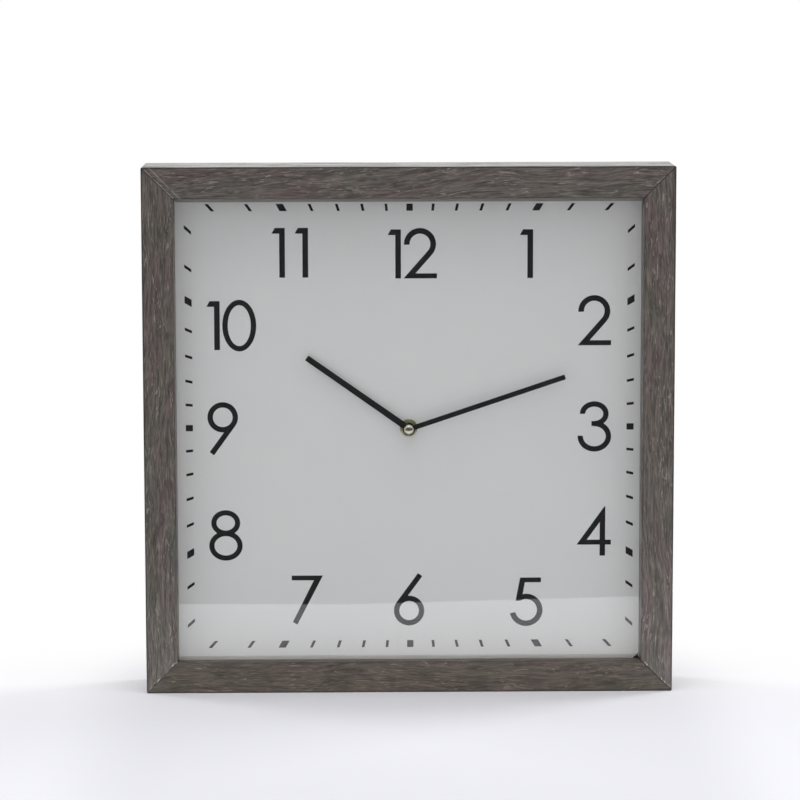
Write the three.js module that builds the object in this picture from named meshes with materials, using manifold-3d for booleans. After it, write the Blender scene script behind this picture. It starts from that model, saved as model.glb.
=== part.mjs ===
// Square clock: a mitred wooden box frame, a glass pane, a printed dial and a battery movement.
// Millimetres, +Z up, the dial faces -Y. The origin lies under the middle of the box round the clock.
// In every piece below y is the depth behind the frame's front face.
import * as THREE from 'three';
import { mergeVertices } from 'three/addons/utils/BufferGeometryUtils.js';
import Module from 'manifold-3d';

const wasm = await Module();
wasm.setup();

// Driving sizes of the frame
const SIDE = 400;
const FRAME_DEPTH = 53;
const RAIL_FACE = 24;
const LIP_DEPTH = 8.7;
const REBATE = 8;
const WORN_EDGE = 1.2;
const MITRE_GAP = 0.3;

// Driving sizes of what the rebate holds
const GLASS_THICKNESS = 2;
const SPACER_LENGTH = 12.4;
const SHEET_THICKNESS = 0.4;
const BOARD_THICKNESS = 3.2;
const TOP_SPACER_DROP = 3;
const SPACER_END_SLANT = 4;

// Driving sizes of the metal in the frame's back
const V_NAIL_LEG = 5.5;
const V_NAIL_SHEET = 0.5;
const V_NAIL_DRIVE = 8;
const TAB_WIDTH = 7;
const TAB_GRIP = 4.5;
const TAB_REACH = 6.5;
const TAB_SHEET = 0.6;
const TAB_SPREAD = 95;
const HANGER_LENGTH = 46;
const HANGER_HEIGHT = 9;
const HANGER_SHEET = 0.7;
const HANGER_LIFT = 1;
const HANGER_FOOT = 8;
const HANGER_TEETH = 9;
const HANGER_TOOTH = 2.2;
const HANGER_GAP = 0.92;
const HANGER_TOP = 4;
const HANGER_NAIL = { shank: 0.8, head: 1.9, headTop: 1.3, headThickness: 0.6, length: 8, point: 2, hole: 9 };
const PAD_RADIUS = 6;
const PAD_THICKNESS = 1.9;
const PAD_INSET = 26;

// Driving sizes of the hands, with their height above the dial face
const MINUTE_HAND = { length: 124.8, base: 3.8, tip: 3.8, hub: 4.75, rise: 8, angle: 71.5 };
const HOUR_HAND = { length: 94.4, base: 4.9, tip: 4.4, hub: 4.6, rise: 5, angle: 305.2 };
const HAND_SHEET = 0.5;
const CAP_NUT = { radius: 3.8, rise: 8.8, height: 3.2, skirt: 0.64, bore: 1.1, boreDepth: 2.1 };

// Driving sizes of the threaded neck and what it clamps
const NECK_RADIUS = 4;
const NECK_RISE = 4;
const NECK_FLANGE = { radius: 5.2, thickness: 0.5 };
const HOLE_ROOM = 0.6;
const DISC_WASHER = { radius: 6.7, thickness: 0.5 };
const HEX_NUT = { acrossFlats: 11, height: 2.2, corner: 0.5 };
const RUBBER_WASHER = { radius: 10, thickness: 0.7 };

// Driving sizes of the movement
const CASE_SIDE = 56;
const CASE_DEPTH = 13.9;
const CASE_WALL = 1.4;
const DIVIDER = 1;
const CASE_FLOOR = 1.5;
const COVER_THICKNESS = 1.5;
const COVER_RIM = { height: 1.4, wall: 1 };
const BAY_HEIGHT = 14.7;
const BATTERY = { radius: 7.1, length: 49.3, nipple: 2.7, nippleLength: 1.3 };
const CONTACT = { sheet: 0.4, width: 10, height: 11 };
const MIDDLE_PLATE = { left: -23, right: 21, bottom: -9.5, top: 14.5 };
const PLATE_POSTS = [[-20, -7.5], [-20, 12], [18.6, -7.5], [18.6, 12.6]];
const BOARD = { left: -24, right: -6, bottom: 17.8, top: 25.8 };
const BOARD_POSTS = [[-21, 21.8], [-9, 21.8]];
const CRYSTAL = { radius: 1, length: 6, x: -18, z: 22 };

// Driving sizes of the motor: a U of soft iron round the rotor, and the coil that joins its legs
const STATOR = { left: 9, leftInner: 11.5, rightInner: 21.5, right: 24, bottom: -7, base: 2.1, top: 23 };
const CORE = { bottom: 20, top: 22.4 };
const COIL = { hole: 1.5, hub: 2, wire: 3.3, flange: 3.6, flangeThickness: 0.8 };
const MAGNET_RADIUS = 3;
const MAGNET_GAP = 0.4;

// Centre distances of the wheel pairs, and the way each pair lies, from +X towards +Z in degrees
const SETTING = { distance: 11.7, bearing: 60 };
const THIRD = { distance: 11.3, bearing: 150 };
const RUNNER = { distance: 7.2, bearing: -20 };
const ROTOR = { distance: 6.3, bearing: 0 };

// Tooth counts
const TEETH = {
  cannon: 12, setting: 36, settingPinion: 10, hour: 40, thirdPinion: 6, drive: 48,
  secondsPinion: 6, third: 45, runnerPinion: 6, seconds: 30, rotorPinion: 6, runner: 36,
};

// Tooth form, as shares of the module or of the tooth pitch
const ADDENDUM = 0.75;
const MESH_PLAY = 0.3;
const DEDENDUM = 1.15;
const TIP_SHARE = 0.15;
const ROOT_SHARE = 0.4;

// Depths of the movement's layers, counted from the case's front face, each with its thickness
const LAYER = {
  hour: [1.9, 1.1], settingPinion: [1.8, 1.3], cannon: [3.4, 1.2], drive: [4.9, 1],
  thirdPinion: [4.7, 1.4], plate: [6.5, 1.5], secondsPinion: [8.3, 1.2], third: [8.5, 0.8],
  stator: [8.3, 1], magnet: [8.4, 1.8], runnerPinion: [9.7, 1.1], seconds: [9.8, 0.8],
  rotorPinion: [11, 1.2], runner: [11.2, 0.8], core: [9.6, 1], board: [7.1, 1],
};

// Arbors, pivots and the clearances that everything is made with
const ARBOR = 0.7;
const PIVOT = 0.5;
const SETTING_SHAFT = 1.1;
const MINUTE_ARBOR = 1.7;
const MINUTE_SEAT = 1.4;
const MINUTE_THREAD = 1;
const MINUTE_PIVOT = 0.8;
const HOUR_TUBE = 2.5;
const BOSS_WALL = 0.75;
const POST_RADIUS = 1.3;
const KNOB = { radius: 6, thickness: 3, flutes: 24, flute: 0.45 };
const HAND_COLLAR = { hour: 1, minute: 1.4 };
const RUNNING = 0.08;
const SEAT = 0.3;
const SIDE_ROOM = 0.4;
const FINE = 32;
const COARSE = 20;
const THIN = 12;

// Sizes worked out from the ones above
const TOTAL_DEPTH = FRAME_DEPTH + SEAT / 3 + PAD_THICKNESS;
const HALF = SIDE / 2;
const SIGHT = HALF - RAIL_FACE;
const REBATE_HALF = SIGHT + REBATE;
const PANE_HALF = REBATE_HALF - SIDE_ROOM;
const REAR_FACE = RAIL_FACE - REBATE;
const GLASS_FRONT = LIP_DEPTH + SEAT;
const SPACER_FRONT = GLASS_FRONT + GLASS_THICKNESS + SEAT;
const DIAL_FACE = SPACER_FRONT + SPACER_LENGTH + SEAT;
const BOARD_FRONT = DIAL_FACE + SHEET_THICKNESS + SEAT;
const BOARD_BACK = BOARD_FRONT + BOARD_THICKNESS;
const CASE_FRONT = BOARD_BACK + SEAT + RUBBER_WASHER.thickness + SEAT;
const CASE_BACK = CASE_FRONT + CASE_DEPTH;
const COVER_FRONT = CASE_BACK + SEAT;
const COVER_BACK = COVER_FRONT + COVER_THICKNESS;
const CASE_HALF = CASE_SIDE / 2;
const CAVITY_HALF = CASE_HALF - CASE_WALL;
const BAY_TOP = -CAVITY_HALF + BAY_HEIGHT;
const TRAIN_FLOOR = BAY_TOP + DIVIDER;

const root = new THREE.Group();
root.position.y = -TOTAL_DEPTH / 2;
const shaft = new THREE.Group();
shaft.position.z = HALF;
root.add(shaft);

function finish(color, roughness, metalness) {
  return new THREE.MeshStandardMaterial({ color, roughness, metalness });
}

function add(parent, name, geometry, material) {
  const mesh = new THREE.Mesh(geometry, material);
  mesh.name = name;
  parent.add(mesh);
  return mesh;
}

// A closed geometry as a solid for joining and cutting
function solid(geometry) {
  const bare = geometry.clone();
  bare.deleteAttribute('normal');
  bare.deleteAttribute('uv');
  const merged = mergeVertices(bare, 1e-5);
  const corners = merged.index.array;
  const faces = [];
  for (let i = 0; i < corners.length; i += 3) {
    const [a, b, c] = [corners[i], corners[i + 1], corners[i + 2]];
    if (a !== b && b !== c && c !== a) {
      faces.push(a, b, c);
    }
  }
  const vertProperties = new Float32Array(merged.attributes.position.array);
  const triVerts = new Uint32Array(faces);
  return new wasm.Manifold(new wasm.Mesh({ numProp: 3, vertProperties, triVerts }));
}

function geometryOf(manifold) {
  const mesh = manifold.getMesh();
  const geometry = new THREE.BufferGeometry();
  geometry.setAttribute('position', new THREE.BufferAttribute(new Float32Array(mesh.vertProperties), 3));
  geometry.setIndex(new THREE.BufferAttribute(new Uint32Array(mesh.triVerts), 1));
  geometry.computeVertexNormals();
  return geometry;
}

function joined(first, ...others) {
  return geometryOf(others.reduce((sum, other) => sum.add(solid(other)), solid(first)));
}

function cut(first, ...tools) {
  return geometryOf(tools.reduce((rest, tool) => rest.subtract(solid(tool)), solid(first)));
}

// A flat outline in the plane of the dial, given depth from front to back
function plate(shape, front, back) {
  const geometry = new THREE.ExtrudeGeometry(shape, { depth: back - front, bevelEnabled: false });
  geometry.rotateX(Math.PI / 2);
  geometry.translate(0, back, 0);
  return geometry;
}

function outline(points) {
  return new THREE.Shape(points.map(([x, z]) => new THREE.Vector2(x, z)));
}

function rectangle(left, right, bottom, top) {
  return outline([[left, bottom], [right, bottom], [right, top], [left, top]]);
}

function circle(x, z, radius, sides = FINE) {
  const points = [];
  for (let i = 0; i < sides; i += 1) {
    const angle = (2 * Math.PI * i) / sides;
    points.push([x + radius * Math.cos(angle), z + radius * Math.sin(angle)]);
  }
  return outline(points);
}

function withHoles(shape, ...holes) {
  shape.holes.push(...holes);
  return shape;
}

function box(left, right, front, back, bottom, top) {
  return plate(rectangle(left, right, bottom, top), front, back);
}

function rod(x, z, radius, front, back, sides = COARSE) {
  return plate(circle(x, z, radius, sides), front, back);
}

// A turned piece on the dial's axis, from [radius, depth] pairs in order of depth from the axis to the axis
function turned(profile, sides = FINE) {
  return new THREE.LatheGeometry(profile.map(([radius, depth]) => new THREE.Vector2(radius, depth)), sides);
}

// A turned ring, from [radius, depth] pairs that go up the outside and come back down the bore
function turnedRing(profile, sides = FINE) {
  return turned([...profile, profile[0]], sides);
}

function polar(distance, degrees) {
  const angle = THREE.MathUtils.degToRad(degrees);
  return new THREE.Vector2(distance * Math.cos(angle), distance * Math.sin(angle));
}

// One length of the frame's moulding as the bottom rail, seen from the middle of the opening.
// Each corner of its section is [distance in from the outer edge, depth].
function mitredRail() {
  const section = [
    [0, WORN_EDGE], [WORN_EDGE, 0], [RAIL_FACE - WORN_EDGE, 0], [RAIL_FACE, WORN_EDGE],
    [RAIL_FACE, LIP_DEPTH], [REAR_FACE, LIP_DEPTH], [REAR_FACE, FRAME_DEPTH], [0, FRAME_DEPTH],
  ];
  const ends = [-1, 1].map((side) => section.map(([inward, depth]) => (
    [side * (HALF - inward - MITRE_GAP / 2), depth, inward - HALF]
  )));
  const count = section.length;
  const faces = [];
  for (let i = 0; i < count; i += 1) {
    const next = (i + 1) % count;
    faces.push([i, count + next, next], [i, count + i, count + next]);
  }
  const caps = THREE.ShapeUtils.triangulateShape(section.map(([x, y]) => new THREE.Vector2(x, y)), []);
  for (const [a, b, c] of caps) {
    faces.push([a, b, c], [count + c, count + b, count + a]);
  }
  const geometry = new THREE.BufferGeometry();
  geometry.setAttribute('position', new THREE.Float32BufferAttribute(ends.flat(2), 3));
  geometry.setIndex(faces.flat());
  return geometry;
}

// An angle of sheet steel across the mitre at the rail's left end, its corner towards the opening
function vNail(growth) {
  const corner = -HALF + REAR_FACE / 2 + V_NAIL_LEG / 2 + growth;
  const inner = corner - V_NAIL_SHEET - 2 * growth;
  const end = corner - V_NAIL_LEG - 2 * growth;
  return outline([
    [corner, corner], [end, corner], [end, inner], [inner, inner], [inner, end], [corner, end],
  ]);
}

// A pointed tab driven out of the rebate into the bottom rail
function tab(x, growth) {
  const wall = -HALF + REAR_FACE;
  const half = TAB_WIDTH / 2 + growth;
  const grip = TAB_GRIP + growth;
  const reach = TAB_REACH;
  return outline([
    [x - half, wall + reach], [x - half, wall - grip / 2], [x, wall - grip],
    [x + half, wall - grip / 2], [x + half, wall + reach],
  ]);
}

const tabFront = BOARD_BACK + SEAT;
const tabPlaces = [-TAB_SPREAD, TAB_SPREAD];
const hangerNails = [-1, 1].map((side) => side * (HANGER_LENGTH - HANGER_FOOT) / 2);
const hangerMiddle = -HALF + HANGER_TOP + HANGER_HEIGHT / 2;

function addFrame() {
  const wood = finish(0x58544f, 0.75, 0);
  const steel = finish(0x9a9b9d, 0.35, 1);
  const slots = tabPlaces.map((x) => plate(tab(x, SEAT), tabFront - SEAT, tabFront + TAB_SHEET + SEAT));
  const nailSlot = plate(vNail(SEAT), FRAME_DEPTH - V_NAIL_DRIVE - SEAT, FRAME_DEPTH + 1);
  const farSlot = nailSlot.clone().rotateY(-Math.PI / 2);
  const hangerHoles = hangerNails.map((x) => (
    rod(x, hangerMiddle, HANGER_NAIL.shank + SEAT, FRAME_DEPTH - HANGER_NAIL.hole, FRAME_DEPTH + 1)
  ));
  ['bottom', 'left', 'top', 'right'].forEach((name, quarter) => {
    const side = new THREE.Group();
    side.rotation.y = quarter * Math.PI / 2;
    shaft.add(side);
    const holes = name === 'top' ? hangerHoles : [];
    add(side, `frame_${name}_rail`, cut(mitredRail(), ...slots, nailSlot, farSlot, ...holes), wood);
    add(side, `v_nail_${name}`, plate(vNail(0), FRAME_DEPTH - V_NAIL_DRIVE, FRAME_DEPTH), steel);
    tabPlaces.forEach((x, i) => {
      add(side, `board_tab_${name}_${i + 1}`, plate(tab(x, 0), tabFront, tabFront + TAB_SHEET), steel);
    });
    if (name === 'top') {
      addHanger(side, steel);
    }
  });
}

// The hanger's strip stands clear of the wood between its two feet, and hangs by the teeth of its lower edge
function addHanger(side, steel) {
  const low = FRAME_DEPTH + SEAT / 3;
  const high = low + HANGER_LIFT;
  const end = HANGER_LENGTH / 2;
  const inner = end - HANGER_FOOT;
  const bend = inner - HANGER_LIFT;
  const strip = new THREE.ExtrudeGeometry(outline([
    [-end, low], [-inner, low], [-bend, high], [bend, high], [inner, low], [end, low],
    [end, low + HANGER_SHEET], [inner, low + HANGER_SHEET], [bend, high + HANGER_SHEET],
    [-bend, high + HANGER_SHEET], [-inner, low + HANGER_SHEET], [-end, low + HANGER_SHEET],
  ]), { depth: HANGER_HEIGHT, bevelEnabled: false });
  strip.translate(0, 0, -HALF + HANGER_TOP);
  const toothEdge = -HALF + HANGER_TOP + HANGER_HEIGHT;
  const pitch = (2 * bend) / HANGER_TEETH;
  const half = (pitch * HANGER_GAP) / 2;
  const gaps = [];
  for (let i = 0; i < HANGER_TEETH; i += 1) {
    const x = -bend + (i + 0.5) * pitch;
    const notch = outline([
      [x, toothEdge - HANGER_TOOTH], [x + half, toothEdge + 1], [x - half, toothEdge + 1],
    ]);
    gaps.push(plate(notch, low - 1, high + HANGER_SHEET + 1));
  }
  const holes = hangerNails.map((x) => (
    rod(x, hangerMiddle, HANGER_NAIL.shank + SEAT, low - 1, high + 1)
  ));
  add(side, 'hanger', cut(strip, ...gaps, ...holes), steel);
  hangerNails.forEach((x, i) => {
    const { shank, head, headTop, headThickness, length, point } = HANGER_NAIL;
    const seat = low + HANGER_SHEET + SEAT / 3;
    const tip = FRAME_DEPTH - length;
    const nail = turned([
      [0, tip], [shank, tip + point], [shank, seat], [head, seat],
      [headTop, seat + headThickness], [0, seat + headThickness],
    ], COARSE);
    const mesh = add(side, `hanger_nail_${i + 1}`, nail, steel);
    mesh.position.set(x, 0, hangerMiddle);
  });
}

function addPads() {
  const felt = finish(0x3a3a3c, 0.95, 0);
  const across = HALF - PAD_INSET;
  const down = -HALF + REAR_FACE / 2;
  const front = FRAME_DEPTH + SEAT / 3;
  [-1, 1].forEach((side) => {
    const name = side < 0 ? 'left' : 'right';
    add(shaft, `wall_pad_${name}`, rod(side * across, down, PAD_RADIUS, front, TOTAL_DEPTH), felt);
  });
}

function addPane() {
  const glass = finish(0xdfe6e4, 0.05, 0);
  const back = GLASS_FRONT + GLASS_THICKNESS;
  add(shaft, 'glass_pane', box(-PANE_HALF, PANE_HALF, GLASS_FRONT, back, -PANE_HALF, PANE_HALF), glass);
}

// Four strips hold the dial back from the glass. The top one hangs low, and the bottom one has a slanted end.
function addSpacers() {
  const paint = finish(0x6b6967, 0.7, 0);
  const back = SPACER_FRONT + SPACER_LENGTH;
  const end = SIGHT - SEAT;
  const low = SIGHT - TOP_SPACER_DROP;
  add(shaft, 'spacer_left', box(-PANE_HALF, -SIGHT, SPACER_FRONT, back, -PANE_HALF, PANE_HALF), paint);
  add(shaft, 'spacer_right', box(SIGHT, PANE_HALF, SPACER_FRONT, back, -PANE_HALF, PANE_HALF), paint);
  add(shaft, 'spacer_top', box(-end, end, SPACER_FRONT, back, low, PANE_HALF), paint);
  const plan = outline([
    [-end, SPACER_FRONT], [end - SPACER_END_SLANT, SPACER_FRONT], [end, back], [-end, back],
  ]);
  const strip = new THREE.ExtrudeGeometry(plan, { depth: PANE_HALF - SIGHT, bevelEnabled: false });
  strip.translate(0, 0, -PANE_HALF);
  add(shaft, 'spacer_bottom', strip, paint);
}

function addDialAndBoard() {
  const opening = NECK_RADIUS + HOLE_ROOM;
  const square = () => withHoles(
    rectangle(-PANE_HALF, PANE_HALF, -PANE_HALF, PANE_HALF),
    circle(0, 0, opening),
  );
  const sheetBack = DIAL_FACE + SHEET_THICKNESS;
  add(shaft, 'dial_sheet', plate(square(), DIAL_FACE, sheetBack), finish(0xd6d6d8, 0.6, 0));
  add(shaft, 'backing_board', plate(square(), BOARD_FRONT, BOARD_BACK), finish(0x8a6a48, 0.85, 0));
}

// The outline of a toothed wheel with a tooth centred on the given bearing
function toothedWheel(teeth, module, bearing) {
  const pitch = (2 * Math.PI) / teeth;
  const tip = (teeth / 2 + ADDENDUM) * module;
  const base = (teeth / 2 - DEDENDUM) * module;
  const points = [];
  for (let i = 0; i < teeth; i += 1) {
    const middle = bearing + i * pitch;
    const corners = [
      [base, -ROOT_SHARE / 2], [tip, -TIP_SHARE / 2], [tip, TIP_SHARE / 2], [base, ROOT_SHARE / 2],
    ];
    for (const [radius, share] of corners) {
      const angle = middle + share * pitch;
      points.push([radius * Math.cos(angle), radius * Math.sin(angle)]);
    }
  }
  return outline(points);
}

// Two wheels in mesh: the first has a tooth on the line of centres, the second a gap
function pair(firstTeeth, secondTeeth, distance, bearing) {
  const module = (2 * distance) / (firstTeeth + secondTeeth + 2 * MESH_PLAY);
  const angle = THREE.MathUtils.degToRad(bearing);
  return [
    toothedWheel(firstTeeth, module, angle),
    toothedWheel(secondTeeth, module, angle + Math.PI + Math.PI / secondTeeth),
  ];
}

function layer(name) {
  const [start, thickness] = LAYER[name];
  return [CASE_FRONT + start, CASE_FRONT + start + thickness];
}

const settingAt = polar(SETTING.distance, SETTING.bearing);
const thirdAt = polar(THIRD.distance, THIRD.bearing);
const runnerAt = polar(RUNNER.distance, RUNNER.bearing);
const rotorAt = runnerAt.clone().add(polar(ROTOR.distance, ROTOR.bearing));

const [cannonTeeth, settingTeeth] = pair(TEETH.cannon, TEETH.setting, SETTING.distance, SETTING.bearing);
const [settingPinionTeeth, hourTeeth] = pair(
  TEETH.settingPinion, TEETH.hour, SETTING.distance, SETTING.bearing + 180,
);
const [thirdPinionTeeth, driveTeeth] = pair(
  TEETH.thirdPinion, TEETH.drive, THIRD.distance, THIRD.bearing + 180,
);
const [secondsPinionTeeth, thirdTeeth] = pair(
  TEETH.secondsPinion, TEETH.third, THIRD.distance, THIRD.bearing,
);
const [runnerPinionTeeth, secondsTeeth] = pair(
  TEETH.runnerPinion, TEETH.seconds, RUNNER.distance, RUNNER.bearing + 180,
);
const [rotorPinionTeeth, runnerTeeth] = pair(
  TEETH.rotorPinion, TEETH.runner, ROTOR.distance, ROTOR.bearing + 180,
);

const bossBore = PIVOT + RUNNING;
const bossRadius = bossBore + BOSS_WALL;
const floorBack = CASE_FRONT + CASE_FLOOR;
const [plateFront, plateBack] = layer('plate');
const frontBossBack = layer('thirdPinion')[0] - 2 * SEAT;
const rearBossFront = layer('runner')[1] + SEAT + ARBOR;
const pivotBack = COVER_FRONT - SEAT;
const pivotsMeet = (plateFront + plateBack) / 2;
const boardFace = layer('board')[0];

// The front shell: a tray with a wall between the wheels and the battery, with bosses and posts on its floor
function addCase() {
  const black = finish(0x1c1c1e, 0.5, 0);
  const flangeSeat = floorBack - NECK_FLANGE.thickness - SEAT / 2;
  const body = cut(
    box(-CASE_HALF, CASE_HALF, CASE_FRONT, CASE_BACK, -CASE_HALF, CASE_HALF),
    box(-CAVITY_HALF, CAVITY_HALF, floorBack, CASE_BACK + 1, TRAIN_FLOOR, CAVITY_HALF),
    box(-CAVITY_HALF, CAVITY_HALF, floorBack, CASE_BACK + 1, -CAVITY_HALF, BAY_TOP),
    rod(0, 0, NECK_RADIUS + SEAT, CASE_FRONT - 1, floorBack + 1, FINE),
    rod(0, 0, NECK_FLANGE.radius + SEAT, flangeSeat, floorBack + 1, FINE),
    rod(settingAt.x, settingAt.y, MINUTE_PIVOT + RUNNING, CASE_FRONT - 1, floorBack + 1),
  );
  const inFloor = floorBack - CASE_FLOOR / 2;
  const stands = [
    rod(thirdAt.x, thirdAt.y, bossRadius, inFloor, frontBossBack),
    ...PLATE_POSTS.map(([x, z]) => rod(x, z, POST_RADIUS, inFloor, plateFront - SEAT)),
    ...BOARD_POSTS.map(([x, z]) => rod(x, z, POST_RADIUS, inFloor, boardFace - SEAT)),
  ];
  const bore = rod(thirdAt.x, thirdAt.y, bossBore, floorBack, frontBossBack + 1);
  add(shaft, 'movement_case', cut(joined(body, ...stands), bore), black);
}

function addCover() {
  const black = finish(0x232325, 0.55, 0);
  const rimOut = CAVITY_HALF - SEAT;
  const rimLow = TRAIN_FLOOR + SEAT;
  const rimFront = COVER_FRONT - COVER_RIM.height;
  const lid = box(-CASE_HALF, CASE_HALF, COVER_FRONT, COVER_BACK, TRAIN_FLOOR - DIVIDER / 2, CASE_HALF);
  const inLid = COVER_FRONT + COVER_THICKNESS / 2;
  const rim = cut(
    box(-rimOut, rimOut, rimFront, inLid, rimLow, rimOut),
    box(-rimOut + COVER_RIM.wall, rimOut - COVER_RIM.wall, rimFront - 1, inLid + 1,
      rimLow + COVER_RIM.wall, rimOut - COVER_RIM.wall),
  );
  const arbors = [thirdAt, new THREE.Vector2(), runnerAt, rotorAt];
  const bosses = arbors.map(({ x, y }) => rod(x, y, bossRadius, rearBossFront, inLid));
  const bores = arbors.map(({ x, y }) => rod(x, y, bossBore, rearBossFront - 1, COVER_FRONT));
  const shaftHole = rod(settingAt.x, settingAt.y, SETTING_SHAFT + RUNNING, COVER_FRONT - 1, COVER_BACK + 1);
  add(shaft, 'movement_cover', cut(joined(lid, rim, ...bosses), ...bores, shaftHole), black);
}

function addMiddlePlate() {
  const { left, right, bottom, top } = MIDDLE_PLATE;
  const shape = withHoles(
    rectangle(left, right, bottom, top),
    circle(0, 0, MINUTE_PIVOT + RUNNING, COARSE),
    circle(thirdAt.x, thirdAt.y, ARBOR + SEAT, COARSE),
    circle(settingAt.x, settingAt.y, SETTING_SHAFT + RUNNING, COARSE),
    circle(runnerAt.x, runnerAt.y, bossBore, COARSE),
    circle(rotorAt.x, rotorAt.y, bossBore, COARSE),
  );
  add(shaft, 'middle_plate', plate(shape, plateFront, plateBack), finish(0xe4e2da, 0.5, 0));
}

function addNeck() {
  const brass = finish(0xb5a169, 0.3, 1);
  const bore = HOUR_TUBE + RUNNING;
  const tip = DIAL_FACE - NECK_RISE;
  const flangeFront = floorBack - NECK_FLANGE.thickness + SEAT / 2;
  const flangeBack = floorBack + SEAT / 2;
  add(shaft, 'threaded_neck', turnedRing([
    [bore, tip], [NECK_RADIUS, tip], [NECK_RADIUS, flangeFront], [NECK_FLANGE.radius, flangeFront],
    [NECK_FLANGE.radius, flangeBack], [bore, flangeBack],
  ]), brass);
  const rubberFront = BOARD_BACK + SEAT;
  const rubberHole = NECK_RADIUS + SEAT;
  add(shaft, 'rubber_washer', plate(
    withHoles(circle(0, 0, RUBBER_WASHER.radius), circle(0, 0, rubberHole)),
    rubberFront, rubberFront + RUBBER_WASHER.thickness,
  ), finish(0x2a2a2a, 0.9, 0));
  const washerBack = DIAL_FACE - SEAT / 3;
  const washerFront = washerBack - DISC_WASHER.thickness;
  add(shaft, 'disc_washer', plate(
    withHoles(circle(0, 0, DISC_WASHER.radius), circle(0, 0, NECK_RADIUS + SEAT)),
    washerFront, washerBack,
  ), brass);
  addHexNut(washerFront - SEAT / 3, brass);
}

// A six-sided nut whose front corners are turned off to a cone
function addHexNut(back, brass) {
  const front = back - HEX_NUT.height;
  const corner = HEX_NUT.acrossFlats / Math.sqrt(3);
  const blank = plate(withHoles(circle(0, 0, corner, 6), circle(0, 0, NECK_RADIUS + SEAT / 2)), front, back);
  const cone = turned([
    [0, front - 1], [corner - HEX_NUT.corner - 1, front - 1],
    [corner + HEX_NUT.corner, front + 2 * HEX_NUT.corner], [corner + 1, back + 1], [0, back + 1],
  ]);
  add(shaft, 'hex_nut', geometryOf(solid(blank).intersect(solid(cone))), brass);
}

// A flat bar with a round hub and a collar that grips the shaft behind it
function handGeometry(hand, bore, collar) {
  const front = DIAL_FACE - hand.rise - HAND_SHEET;
  const back = DIAL_FACE - hand.rise;
  const bar = plate(outline([
    [-hand.base / 2, 0], [hand.base / 2, 0], [hand.tip / 2, hand.length], [-hand.tip / 2, hand.length],
  ]), front, back);
  const hub = rod(0, 0, hand.hub, front, back, FINE);
  const grip = rod(0, 0, collar, (front + back) / 2, back + HAND_SHEET + SEAT, FINE);
  const hole = rod(0, 0, bore, front - 1, back + HAND_SHEET + 1, FINE);
  return cut(joined(bar, hub, grip), hole);
}

function addHands() {
  const black = finish(0x17181a, 0.6, 0);
  const hour = handGeometry(HOUR_HAND, HOUR_TUBE + RUNNING, HOUR_TUBE + HAND_COLLAR.hour);
  const minute = handGeometry(MINUTE_HAND, MINUTE_SEAT + RUNNING, MINUTE_SEAT + HAND_COLLAR.minute);
  add(shaft, 'hour_hand', hour, black).rotation.y = THREE.MathUtils.degToRad(HOUR_HAND.angle);
  add(shaft, 'minute_hand', minute, black).rotation.y = THREE.MathUtils.degToRad(MINUTE_HAND.angle);
  const { radius, rise, height, skirt, bore, boreDepth } = CAP_NUT;
  const back = DIAL_FACE - rise;
  const dome = [];
  const steps = 6;
  for (let i = 0; i <= steps; i += 1) {
    const angle = (Math.PI / 2) * (i / steps);
    dome.push([radius * Math.sin(angle), back - skirt - (height - skirt) * Math.cos(angle)]);
  }
  add(shaft, 'cap_nut', turned([
    ...dome, [radius, back], [bore, back], [bore, back - boreDepth], [0, back - boreDepth],
  ]), finish(0xc9c2a4, 0.2, 1));
}

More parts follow.
